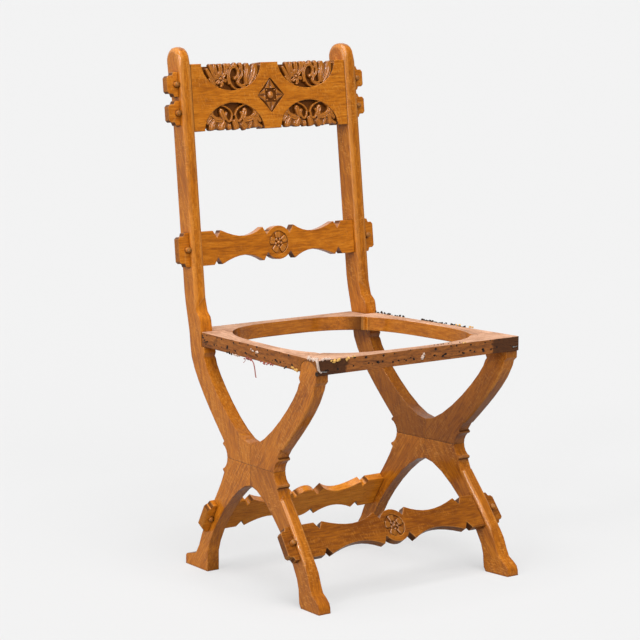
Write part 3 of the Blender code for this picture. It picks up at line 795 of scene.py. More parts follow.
@dataclass
class Relief:
    """Raised carving on a sunk field, made lobe by lobe and fused into one skin."""

    panel: Panel
    ground: float
    origin: Point = (0.0, 0.0)
    rise: int = 1
    sink: float = 0.0012
    flute: float = 0.24
    flute_spread: float = 0.8
    flute_width: float = 0.30
    bluntness: int = 9
    thinnest: float = 0.0002
    low_end: float = 0.62
    groove_width: float = 0.35
    taper: tuple[float, float] = (1.1, 0.35)
    back_facing: float = -0.5
    back_height: float = 0.6
    mesh: bmesh.types.BMesh = field(default_factory=bmesh.new)

    def ribbon(
        self,
        spine: Spine,
        half_width: Callable[[float], float],
        crown: Callable[[float, float], float],
        steps: tuple[int, int] = (16, 10),
    ) -> None:
        """Raise a strip along a spine and close it underneath.

        Args:
            spine: Middle line of the strip.
            half_width: Half width at a share of the way along.
            crown: Height over the ground, at a share of the way along and a place across from -1 to 1.
            steps: Divisions along and across.
        """
        grid = bmesh.ops.create_grid(self.mesh, x_segments=steps[0], y_segments=steps[1], size=0.5)
        rim = {edge for vert in grid["verts"] for edge in vert.link_edges if edge.is_boundary}
        low = -self.ground - self.sink
        for vert in grid["verts"]:
            share, aside = vert.co.x + 0.5, 2 * vert.co.y
            point, way = spine.at(share)
            flat = point + Vector((-way.y, way.x)) * half_width(share) * aside
            out = low if vert.is_boundary else crown(share, aside) - self.ground
            vert.co = self.panel.place(self.origin[0] + flat.x, self.origin[1] + self.rise * flat.y, out)
        bmesh.ops.holes_fill(self.mesh, edges=list(rim), sides=0)

    def lobe(
        self, knots: Sequence[Point], width: float, height: float, flutes: int = 1, root: float = 0.6
    ) -> None:
        """Raise one leaf lobe, narrow at its root, rounded at its tip and fluted lengthwise.

        Args:
            knots: Points of its middle line, from root to tip.
            width: Its greatest half width.
            height: Its greatest height.
            flutes: How many flutes run along it.
            root: Width at the root as a share of the greatest.
        """
        lines = [self.flute_spread * ((2 * flute + 1) / flutes - 1) for flute in range(flutes)]
        narrow = self.flute_width / max(1, flutes) ** 0.6

        def half_width(share: float) -> float:
            """Swell towards the tip, then close it."""
            swell = root + (1 - root) * share**0.8
            return width * swell * math.sqrt(max(0.0, 1 - share**self.bluntness)) + self.thinnest

        def crown(share: float, aside: float) -> float:
            """Rounded section with flutes that run out before the tip.

            Args:
                share: How far along the lobe, from 0 to 1.
                aside: Place across it, from -1 to 1.

            Returns:
                The height there.
            """
            swell = self.low_end + (1 - self.low_end) * math.sin(math.pi * min(1.0, 0.15 + share * 0.75))
            cuts = sum(math.exp(-(((aside - line) / narrow) ** 2)) for line in lines)
            fade = math.sin(math.pi * min(1.0, share + 0.10))
            return height * swell * (1 - self.flute * cuts * fade) * rounded(aside)

        self.ribbon(Spine(tuple(knots)), half_width, crown, (18, 14))

    def stem(self, knots: Sequence[Point], width: float, height: float, groove: float) -> None:
        """Raise a grooved stem or scroll that tapers a little.

        Args:
            knots: Points of its middle line.
            width: Its half width.
            height: Its height.
            groove: How deep its middle is cut, as a share of the height.
        """

        def crown(share: float, aside: float) -> float:
            """Rounded bar with a groove along it."""
            hollow = 1 - groove * math.exp(-((aside / self.groove_width) ** 2))
            return height * hollow * rounded(aside)

        def half_width(share: float) -> float:
            """Narrow from the start to the end."""
            return width * (self.taper[0] - self.taper[1] * share)

        self.ribbon(Spine(tuple(knots)), half_width, crown, (8 * len(knots), 8))

    def boss(self, centre: Point, radius: float, height: float) -> None:
        """Raise a round boss.

        Args:
            centre: Its middle.
            radius: Its radius.
            height: Its height over the ground.
        """
        across, up = self.origin[0] + centre[0], self.origin[1] + self.rise * centre[1]
        bed = -self.ground - self.sink
        size = Matrix.Diagonal((radius, radius, height + self.sink, 1))
        matrix = self.panel.frame_at(across, up, bed) @ size
        made = bmesh.ops.create_icosphere(self.mesh, subdivisions=3, radius=1.0, matrix=matrix)
        middle = self.panel.place(across, up, bed)
        for vert in made["verts"]:
            under = (vert.co - middle).dot(self.panel.out)
            if under < 0:
                vert.co -= self.panel.out * under

    def fused(self, voxel: float) -> bpy.types.Mesh:
        """Fuse the lobes into one closed skin that knows its own height.

        Args:
            voxel: Size of the finest detail.

        Returns:
            The skin, with its height over the ground as the attribute relief.
        """
        bmesh.ops.recalc_face_normals(self.mesh, faces=self.mesh.faces)
        blank = helper("carving_blank", self.mesh)
        remesh = blank.modifiers.new("fuse", "REMESH")
        remesh.mode = "VOXEL"
        remesh.voxel_size = voxel
        skin = settled(blank)
        heights = [
            (self.panel.height(vert.co) + self.ground) / self.ground
            if vert.normal.dot(self.panel.out) > self.back_facing
            else self.back_height
            for vert in skin.vertices
        ]
        skin.attributes.new("relief", "FLOAT", "POINT").data.foreach_set("value", heights)
        return skin


@dataclass
class Timber:
    """One stick or rail of the joinery, taken from its solid with its arrises eased."""

    node: str
    ease: float = 0.0021

    def build(self) -> bmesh.types.BMesh:
        """Copy the solid, join its facets into faces and round its sharp convex edges.

        Returns:
            The eased mesh, whose narrow rounded strips carry the attribute arris.
        """
        mesh = bmesh.new()
        mesh.from_mesh(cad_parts[self.node].data)
        bmesh.ops.remove_doubles(mesh, verts=mesh.verts, dist=MERGE)
        bmesh.ops.dissolve_limit(
            mesh, angle_limit=FLAT_ANGLE, verts=mesh.verts, edges=mesh.edges, delimit={"NORMAL"}
        )
        sharp = [
            edge
            for edge in mesh.edges
            if edge.is_manifold and edge.is_convex and edge.calc_face_angle() > ARRIS_ANGLE
        ]
        bmesh.ops.bevel(
            mesh,
            geom=sharp,
            offset=self.ease,
            offset_type="OFFSET",
            segments=3,
            profile=0.5,
            affect="EDGES",
            clamp_overlap=True,
            material=-1,
        )
        arris = mesh.faces.layers.float.new("arris")
        for face in mesh.faces:
            longest = max(edge.calc_length() for edge in face.edges)
            face[arris] = float(face.calc_area() < STRIP_WIDTH * longest)
        return mesh

    def dress(self, finish: bpy.types.Material) -> None:
        """Build the timber and put it on the chair in its finish."""
        add_piece(f"{self.node}_timber", self.build(), [finish], Slot.VARNISHED, self.node)


@dataclass(frozen=True)
class Stick:
    """How one stick of a side frame is coloured."""

    name: str
    tone: float
    stain: float = 0.0
    ends: float = 0.9
    seat_shade: float = 0.0


# The front legs' stain and the right frame's darker tones and stains are partly painted shade, for the
# shade under the seat and behind the left frame. The last number of each stick paints shade below the seat,
# strongest on the right post and arm.
LEFT_STICKS = (
    Stick("post", -0.03, ends=0.2, seat_shade=0.06),
    Stick("arm", -0.05, seat_shade=0.06),
    Stick("front_leg", -0.10, 0.18),
    Stick("rear_leg", -0.04, 0.02),
)
RIGHT_STICKS = (
    Stick("post", -0.08, 0.10, ends=0.2, seat_shade=0.52),
    Stick("arm", -0.09, 0.02, seat_shade=0.54),
    Stick("front_leg", -0.12, 0.18),
    Stick("rear_leg", -0.14, 0.12),
)


@dataclass
class SideFrame:
    """Post, arm and two legs of one side, which cross in an X under the seat."""

    side: Side
    sticks: tuple[Stick, ...]
    rays: float = 0.40
    seams: tuple[str, ...] = ("upper_seam", "lower_seam")
    glue_size: tuple[float, float, float] = (0.0050, 0.0002, 0.0380)
    glue_offset: float = 0.0080
    glue_dark: Colour = (0.050, 0.020, 0.008)
    glue_light: Colour = (0.110, 0.045, 0.012)
    stick_shift: float = 0.31
    side_shift: float = 0.13

    def _glue(self, seam: str, finish: bpy.types.Material) -> None:
        """Fill an upright seam of the crossing beside its dowel.

        Args:
            seam: Name of the seam.
            finish: Dried glue.
        """
        name = f"{self.side.word}_{seam}"
        low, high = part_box(f"{name}_dowel")
        through = Vector(run_of(f"{name}_dowel"))
        across = through.cross(UP)
        turn = Matrix((across, through, UP)).transposed().to_4x4()
        place = Matrix.Translation((low + high) / 2 + across * self.glue_offset)
        size = Matrix.Diagonal((*self.glue_size, 1.0))
        mesh = bmesh.new()
        bmesh.ops.create_cube(mesh, size=1.0, matrix=place @ turn @ size)
        add_piece(f"{name}_glue", mesh, [finish], Slot.DOWEL)

    def build(self) -> None:
        """Dress the four sticks and glue them together."""
        glue = Spotted(f"{self.side.word}_seam_glue_dried", self.glue_dark, self.glue_light).build()
        for seam in self.seams:
            self._glue(seam, glue)
        for number, stick in enumerate(self.sticks):
            node = f"{self.side.word}_{stick.name}"
            finish = VarnishedOak(
                f"{node}_varnish",
                run_of(node),
                shift=self.stick_shift * number + self.side_shift * self.side.value,
                rays=self.rays,
                tone=stick.tone,
                stain=stick.stain,
                cut_ends=stick.ends,
                sawn_ends=stick.ends,
                seat_shade=stick.seat_shade,
            )
            Timber(node).dress(finish.build())


@dataclass(frozen=True)
class LunetteDesign:
    """What is carved in one lunette, in millimetres from the middle of the rail's edge inwards."""

    beds: tuple[tuple[tuple[Point, ...], float], ...]
    lobes: tuple[tuple[tuple[Point, ...], float, int], ...]
    stems: tuple[tuple[tuple[Point, ...], float], ...]
    bosses: tuple[tuple[Point, float], ...]


def scaled(knots: Iterable[Point]) -> tuple[Point, ...]:
    """Points in metres from points in millimetres."""
    return tuple((across * MM, up * MM) for across, up in knots)


def both(knots: Iterable[Point]) -> tuple[tuple[Point, ...], tuple[Point, ...]]:
    """Points as they are, and mirrored across the middle of their field."""
    kept = tuple(knots)
    return kept, tuple((-across, up) for across, up in kept)


def whorl(centre: Point, angle: float, reaches: Iterable[float]) -> tuple[Point, ...]:
    """Points that lead straight out from a centre."""
    across, up = math.cos(angle), math.sin(angle)
    return tuple((centre[0] + across * reach, centre[1] + up * reach) for reach in reaches)


UPPER_LUNETTE = LunetteDesign(
    beds=(
        (((-33, 41), (-38, 32), (-42, 22)), 3.0),
        (((-27, 40), (-25, 24), (-20, 7)), 8.5),
        (((39, 41), (46, 24), (49, 6)), 8.0),
    ),
    lobes=(
        (((-30, 45), (-41, 40), (-51, 27)), 3.6, 1),
        (((-36, 39), (-46, 27), (-56, 8)), 4.6, 1),
        (((-35, 32), (-42, 17), (-47, 0)), 5.0, 1),
        (((-31, 24), (-36, 11), (-36, 0)), 5.0, 1),
        (((-24, 20), (-24, 9), (-25, 0)), 6.0, 1),
        (((-14, 22), (-11, 10), (-13, 0)), 6.2, 1),
        *((whorl((-24, 29), math.radians(60 * turn + 20), (4, 9, 14)), 5.0, 1) for turn in range(6)),
        (((-1, 12), (-3, 6), (-4, 0)), 5.2, 1),
        (((13, 9), (11, 5), (8, 0)), 5.4, 1),
        (((22, 15), (24, 7), (21, 0)), 5.4, 1),
        (((36, 43), (35, 28), (39, 13), (37, 0)), 8.4, 2),
        (((40, 43), (49, 31), (56, 16), (57, 1)), 9.2, 2),
    ),
    stems=(
        (((-3, 36), (2, 44), (11, 49), (23, 48.5), (33, 44)), 2.3),
        (((-4, 40), (-6, 28), (-4, 16), (3, 8), (12, 8), (17, 16), (15, 25), (9, 28)), 4.2),
        (((32, 43), (23, 43), (15, 38), (17, 31), (24, 24), (26, 14), (23, 5)), 4.0),
    ),
    bosses=(((-24, 29), 4.6), ((-24, 43), 3.6), ((9, 29), 4.6), ((16, 37), 4.2), ((-44, 33), 3.4)),
)
LOWER_LUNETTE = LunetteDesign(
    beds=(
        *((knots, 8.0) for knots in both(((-60, 9), (-36, 9), (-8, 10)))),
        *((knots, 6.5) for knots in both(((-52, 20), (-40, 20), (-24, 20)))),
    ),
    lobes=(
        *((knots, 7.0, 1) for knots in both(((-20, 18), (-25, 29), (-28, 40)))),
        *((knots, 5.2, 1) for knots in both(((-47, 22), (-37, 18), (-26, 17)))),
        *((knots, 5.0, 1) for knots in both(((-50, 24), (-57, 20), (-63, 12)))),
        *((knots, 4.0, 1) for knots in both(((-50, 32), (-55, 29), (-60, 23)))),
        (((-43, 19), (-51, 10), (-52, 0)), 8.6, 2),
        (((-21, 17), (-28, 9), (-29, 0)), 9.6, 2),
        (((-11, 12), (-11, 6), (-10, 0)), 5.0, 1),
        (((0, 20), (4, 9), (6, 0)), 8.6, 2),
        (((20, 29), (25, 22), (26, 13)), 6.6, 1),
        (((18, 13), (24, 7), (28, 0)), 8.0, 2),
        (((44, 23), (50, 15), (52, 2)), 6.6, 2),
        (((52, 12), (58, 7), (66, 3)), 4.0, 1),
    ),
    stems=(
        *((knots, 2.0) for knots in both(((-2, 26), (-8, 37), (-17, 43), (-28, 46.5), (-38, 45.5)))),
        *(
            (knots, 2.8)
            for knots in both(((-16, 34), (-19.5, 27), (-17, 20), (-11.5, 16), (-6, 20), (-4, 29)))
        ),
        *((knots, 4.4) for knots in both(((-40, 45), (-49, 38), (-49, 29), (-41, 23), (-30, 20)))),
        (((36, 24), (39, 16), (38, 8), (34, 1)), 2.8),
    ),
    bosses=(((50, 27), 5.0), ((-56, 28), 3.6), ((-28, 38), 4.6), ((27, 37), 4.8)),
)


@dataclass
class CrestRail:
    """Carved top rail: four leafy lunettes about a lozenge, pegged through the posts."""

    node: str = "crest_rail"
    lunette_centre: float = 0.089
    lunette_half_span: float = 0.0685
    lunette_depth: float = 0.009
    field_margins: tuple[float, float] = (0.002, 0.001)
    ground_margin: float = 0.0005
    bed_height: float = 0.60
    bed_root: float = 0.8
    stem_height: float = 0.96
    stem_groove: float = 0.15
    lozenge_depth: float = 0.004
    petal_root: float = 0.0124
    petal_tip: float = 0.0310
    petal_width: float = 0.0160
    petal_point: float = 0.0004
    petal_height: float = 1.1
    petal_fall: float = 0.4
    petal_round: float = 0.5
    crease_depth: float = 0.7
    crease_width: float = 0.22
    boss_radius: float = 0.0078
    boss_height: float = 1.3
    bud_radius: float = 0.0024
    bud_reach: float = 0.0093
    voxel: float = 0.0006
    flower_voxel: float = 0.7
    varnish: VarnishedOak = VarnishedOak("crest_varnish", ACROSS_CHAIR, shift=0.9, rays=0.4)
    ground_finish: CarvedOak = CarvedOak("crest_ground")
    carving_finish: CarvedOak = CarvedOak("crest_carving")

    def build(self) -> None:
        """Dress the board and carve its fields."""
        self.panel = Panel.of(self.node, Vector((0, -1, 0)), 0.95)
        self.carved = self.carving_finish.build()
        self._board()
        for side in Side:
            self._carve(UPPER_LUNETTE, side, Rim.UPPER)
            self._carve(LOWER_LUNETTE, side, Rim.LOWER)
        self._flower()

    def _board(self) -> None:
        """Dress the board, with its sunk fields stained."""
        mesh = Timber(self.node).build()
        mesh.verts.layers.float.new("relief")
        reach = self.lunette_centre + self.lunette_half_span + self.field_margins[0]
        inside = self.panel.half_height - self.field_margins[1]
        for face in mesh.faces:
            centre = face.calc_center_median() - self.panel.centre
            depth = -centre.dot(self.panel.out)
            sunk = self.ground_margin < depth < self.lunette_depth + self.ground_margin
            level = abs(centre.dot(self.panel.up)) < inside
            if sunk and level and abs(centre.dot(self.panel.across)) < reach:
                face.material_index = GROUND_FINISH
        finishes = [self.varnish.build(), self.ground_finish.build()]
        add_piece(f"{self.node}_timber", mesh, finishes, Slot.VARNISHED, self.node)

    def _carve(self, design: LunetteDesign, side: Side, rim: Rim) -> None:
        """Raise the leaves, scrolls and bosses of one lunette.

        Args:
            design: What is carved, in millimetres from the middle of the rail's edge inwards.
            side: Which half of the rail.
            rim: Which edge the lunette opens to.
        """
        origin = (side.value * self.lunette_centre, rim.value * self.panel.half_height)
        relief = Relief(self.panel, self.lunette_depth, origin, -rim.value)
        for knots, width in design.beds:
            relief.lobe(scaled(knots), width * MM, self.lunette_depth * self.bed_height, 0, self.bed_root)
        for knots, width, flutes in design.lobes:
            relief.lobe(scaled(knots), width * MM, self.lunette_depth, flutes)
        for knots, width in design.stems:
            height = self.lunette_depth * self.stem_height
            relief.stem(scaled(knots), width * MM, height, self.stem_groove)
        for centre, radius in design.bosses:
            relief.boss(scaled((centre,))[0], radius * MM, self.lunette_depth)
        name = f"crest_carving_{rim.word}_{side.word}"
        add_piece(name, relief.fused(self.voxel), [self.carved], Slot.VARNISHED)

    def _flower(self) -> None:
        """Four pointed petals about a round boss in the lozenge between the lunettes."""
        relief = Relief(self.panel, self.lozenge_depth)
        tall = self.lozenge_depth * self.petal_height

        def half_width(share: float) -> float:
            """Narrow from the lip to the point."""
            return self.petal_width * (1 - share) + self.petal_point

        def crown(share: float, aside: float) -> float:
            """Raised lip that falls away to the point, creased along the middle.

            Args:
                share: How far along the petal, from 0 to 1.
                aside: Place across it, from -1 to 1.

            Returns:
                The height there.
            """
            cut = math.exp(-((aside / self.crease_width) ** 2)) * math.sin(math.pi * share**0.7)
            lip = tall * (1 - self.petal_fall * share) * (1 - self.crease_depth * cut)
            return lip * (1 - self.petal_round * aside * aside)

        for across, up in ((1, 0), (0, 1), (-1, 0), (0, -1)):
            knots = tuple((across * reach, up * reach) for reach in (self.petal_root, self.petal_tip))
            relief.ribbon(Spine(knots), half_width, crown)
        relief.boss((0.0, 0.0), self.boss_radius, tall * self.boss_height)
        for across, up in itertools.product((-1, 1), repeat=2):
            relief.boss((across * self.bud_reach, up * self.bud_reach), self.bud_radius, tall)
        skin = relief.fused(self.voxel * self.flower_voxel)
        add_piece("crest_lozenge_flower", skin, [self.carved], Slot.VARNISHED)


@dataclass
class ShapedRail:
    """Thin fretted rail with a rosette in the roundel at its middle."""

    node: str
    facing: tuple[float, float, float]
    tone: float = 0.0
    stain: float = 0.0
    coat: float = 0.80
    dish_depth: float = 0.003
    petals: int = 5
    rays: float = 0.15
    petal_reach: tuple[float, float, float] = (0.0085, 0.0140, 0.0208)
    petal_width: float = 0.0088
    petal_root: float = 0.62
    petal_height: float = 1.2
    petal_turn: float = 0.3
    bead_turn: float = 0.6
    bead_reach: float = 0.0068
    bead_radius: float = 0.0036
    bead_height: float = 0.9
    boss_radius: float = 0.0040
    boss_height: float = 1.35
    voxel: float = 0.0005
    ease: float = 0.0016

    def build(self) -> None:
        """Dress the board and carve its rosette."""
        panel = Panel.of(self.node, Vector(self.facing), 0.95)
        varnish = VarnishedOak(
            f"{self.node}_varnish",
            ACROSS_CHAIR,
            shift=MID_TONE + self.tone,
            rays=self.rays,
            tone=self.tone,
            stain=self.stain,
            coat=self.coat,
        )
        Timber(self.node, self.ease).dress(varnish.build())
        relief = Relief(panel, self.dish_depth)
        tall = self.dish_depth * self.petal_height
        for number in range(self.petals):
            angle = math.tau * (number + self.petal_turn) / self.petals
            way = Vector((math.cos(angle), math.sin(angle)))
            knots = tuple(tuple(way * reach) for reach in self.petal_reach)
            relief.lobe(knots, self.petal_width, tall, 1, self.petal_root)
            aside = angle + self.bead_turn
            bead = Vector((math.cos(aside), math.sin(aside))) * self.bead_reach
            relief.boss(tuple(bead), self.bead_radius, tall * self.bead_height)
        relief.boss((0.0, 0.0), self.boss_radius, tall * self.boss_height)
        finish = CarvedOak(f"{self.node}_rosette_finish", self.stain).build()
        add_piece(f"{self.node}_rosette", relief.fused(self.voxel), [finish], Slot.VARNISHED)


@dataclass
class Pegs:
    """Turned pegs that lock the rails' tenons behind the posts and legs."""

    nodes: tuple[str, ...]
    shift: float = 0.17
    rays: float = 0.2
    tone: float = -0.25
    ease: float = 0.0004

    def build(self) -> None:
        """Dress every peg."""
        for number, node in enumerate(self.nodes):
            shift = self.shift * number
            finish = VarnishedOak(f"{node}_varnish", run_of(node), shift, self.rays, self.tone)
            Timber(node, self.ease).dress(finish.build())


@dataclass
class SeatFrame:
    """Four seat rails, bare on top, nailed and soiled outside, varnished inside the opening."""

    hole_radius: float = 0.0019
    hole_depth: float = 0.0050
    hole_rise: float = 0.0006
    hole_point: float = 0.4
    hole_sizes: tuple[float, float] = (0.6, 1.3)
    hole_tears: tuple[float, float] = (1.0, 1.9)
    hole_tilt: float = 0.25
    spacing: float = 0.0290
    gaps: tuple[float, float] = (0.5, 1.4)
    end_gap: float = 0.6
    clusters: tuple[int, ...] = (1, 2, 2, 3)
    stray_across: float = 0.007
    stray_up: float = 0.16
    rows: tuple[float, float] = (0.80, -0.28)
    patch_start: float = 0.168
    face_limit: float = 0.6
    ease: float = 0.0012
    inner_shift: float = 0.2
    inner_rays: float = 0.2
    inner_tone: float = -0.06
    inner_stain: float = 0.12
    seed: int = 40
    patched: str = "seat_front_rail"
    facings: dict[str, tuple[float, float, float]] = field(
        default_factory=lambda: {
            "seat_front_rail": (0, -1, 0),
            "seat_rear_rail": (0, 1, 0),
            "seat_left_rail": (-1, 0, 0),
            "seat_right_rail": (1, 0, 0),
        }
    )

    def build(self) -> None:
        """Dress the four rails."""
        hole = TACK_HOLE.build()
        for number, (node, facing) in enumerate(self.facings.items()):
            along = run_of(node)
            panel = Panel.of(node, Vector(facing))
            outer = TackedOak(f"{node}_outer", along)
            if node == self.patched:
                outer = replace(outer, patch_start=self.patch_start)
            shift = self.inner_shift * number
            inner = VarnishedOak(
                f"{node}_inner", along, shift, self.inner_rays, self.inner_tone, self.inner_stain
            )
            finishes = [inner.build(), BareOak(f"{node}_top", along).build(), outer.build(), hole]
            mesh = Timber(node, self.ease).build()
            for face in mesh.faces:
                if face.normal.z > self.face_limit:
                    face.material_index = RailFace.TOP.value
                elif face.normal.dot(panel.out) > self.face_limit:
                    face.material_index = RailFace.OUTER.value
            draw = random.Random(self.seed + number)
            pierced = self._pierced(node, mesh, panel, draw, finishes)
            add_piece(f"{node}_timber", pierced, finishes, Slot.BARE, node)

    def _pierced(
        self,
        node: str,
        mesh: bmesh.types.BMesh,
        panel: Panel,
        draw: random.Random,
        finishes: Sequence[bpy.types.Material],
    ) -> bpy.types.Mesh:
        """Pierce a rail's outer face with two ragged rows of torn tack holes.

        Args:
            node: Name of the rail.
            mesh: The eased rail.
            panel: Its outer face.
            draw: Source of the scatter.
            finishes: The rail's materials.

        Returns:
            The pierced mesh.
        """
        rail = helper(f"{node}_blank", mesh)
        for finish in finishes:
            rail.data.materials.append(finish)
        tacks = bmesh.new()
        end = panel.half_length - self.spacing * self.end_gap
        middle = self.hole_rise - self.hole_depth / 2
        for number, row in enumerate(self.rows):
            across = -end
            while across < end:
                for _ in range(draw.choice(self.clusters) if number else 1):
                    aside = across + draw.uniform(-self.stray_across, self.stray_across)
                    up = panel.half_height * (row + draw.uniform(-self.stray_up, self.stray_up))
                    self._tack(tacks, panel.frame_at(aside, up, middle), draw)
                across += self.spacing * draw.uniform(*self.gaps)
        cutter = helper(f"{node}_tacks", tacks)
        cutter.data.materials.append(finishes[RailFace.HOLE.value])
        cut = rail.modifiers.new("tacks", "BOOLEAN")
        cut.operation = "DIFFERENCE"
        cut.solver = "EXACT"
        cut.use_self = True
        cut.material_mode = "TRANSFER"
        cut.object = cutter
        pierced = settled(rail)
        bpy.data.objects.remove(cutter)
        return pierced

    def _tack(self, tacks: bmesh.types.BMesh, middle: Matrix, draw: random.Random) -> None:
        """Add the cone of one torn tack hole.

        Args:
            tacks: Where it is added.
            middle: Its middle, with the Z axis out of the rail.
            draw: Source of the scatter.
        """
        radius = self.hole_radius * draw.uniform(*self.hole_sizes)
        tilt = Matrix.Rotation(draw.uniform(-self.hole_tilt, self.hole_tilt), 4, "X")
        stretch = Matrix.Diagonal((draw.uniform(*self.hole_tears), 1.0, 1.0, 1.0))
        bmesh.ops.create_cone(
            tacks,
            cap_ends=True,
            segments=7,
            radius1=radius * self.hole_point,
            radius2=radius,
            depth=self.hole_depth,
            matrix=middle @ tilt @ stretch,
        )


@dataclass(frozen=True)
class Tuft:
    """A line of lint, foam or torn cloth that still clings to a rail."""

    start: tuple[float, float, float]
    end: tuple[float, float, float]
    count: int
    size: float


@dataclass(frozen=True)
class Strand:
    """A loose thread or a piece of wire."""

    path: tuple[tuple[float, float, float], ...]
    radius: float


@dataclass
class Remnants:
    """Scraps of the lost upholstery on the seat frame, laid out in millimetres."""

    name: str
    finish: Spotted
    tufts: tuple[Tuft, ...] = ()
    strands: tuple[Strand, ...] = ()
    seed: int = 1
    order: tuple[float, float] = (0.1, 0.9)
    looseness: float = 0.25
    lump_sizes: tuple[float, float] = (0.35, 0.85)
    raggedness: tuple[float, float] = (0.62, 1.35)

    def build(self) -> None:
        """Shape the scraps of one kind and put them on the seat."""
        draw = random.Random(self.seed)
        mesh = bmesh.new()
        for tuft in self.tufts:
            self._tuft(mesh, tuft, draw)
        for strand in self.strands:
            self._strand(mesh, strand)
        bmesh.ops.recalc_face_normals(mesh, faces=mesh.faces)
        add_piece(self.name, mesh, [self.finish.build()], Slot.BARE)

    def _tuft(self, mesh: bmesh.types.BMesh, tuft: Tuft, draw: random.Random) -> None:
        """Scatter ragged lumps along a line.

        Args:
            mesh: Where they are added.
            tuft: The line, and how many lumps of which size lie on it.
            draw: Source of the scatter.
        """
        start, end = Vector(tuft.start), Vector(tuft.end)
        for number in range(tuft.count):
            share = (number + draw.uniform(*self.order)) / tuft.count
            loose = Vector([draw.uniform(-self.looseness, self.looseness) * tuft.size for _ in range(3)])
            size = [tuft.size * draw.uniform(*self.lump_sizes) for _ in range(3)]
            turn = Matrix.Rotation(draw.uniform(0, math.tau), 4, (draw.random(), draw.random(), 1.0))
            place = Matrix.Translation((start.lerp(end, share) + loose) * MM)
            lump = place @ turn @ Matrix.Diagonal((*(span * MM for span in size), 1.0))
            made = bmesh.ops.create_icosphere(mesh, subdivisions=2, radius=0.5, matrix=lump)
            centre = lump.to_translation()
            for vert in made["verts"]:
                vert.co = centre + (vert.co - centre) * draw.uniform(*self.raggedness)

    @staticmethod
    def _strand(mesh: bmesh.types.BMesh, strand: Strand) -> None:
        """Sweep a round section along a thread.

        Args:
            mesh: Where it is added.
            strand: The thread.
        """
        path = [Vector(point) * MM for point in strand.path]
        ways = [(after - before).normalized() for before, after in zip(path, path[1:])]
        ways.append(ways[-1])
        turn = ways[0].to_track_quat("Z", "Y").to_matrix().to_4x4()
        matrix = Matrix.Translation(path[0]) @ turn
        ring = bmesh.ops.create_circle(
            mesh, cap_ends=True, segments=6, radius=strand.radius * MM, matrix=matrix
        )["verts"]
        edges = list({edge for vert in ring for edge in vert.link_edges})
        for number in range(1, len(path)):
            made = bmesh.ops.extrude_edge_only(mesh, edges=edges)["geom"]
            ring = [item for item in made if isinstance(item, bmesh.types.BMVert)]
            edges = [item for item in made if isinstance(item, bmesh.types.BMEdge)]
            bend = ways[number - 1].rotation_difference(ways[number]).to_matrix()
            bmesh.ops.rotate(mesh, cent=path[number - 1], matrix=bend, verts=ring)
            bmesh.ops.translate(mesh, vec=path[number] - path[number - 1], verts=ring)
        bmesh.ops.holes_fill(mesh, edges=[edge for edge in edges if edge.is_boundary], sides=0)


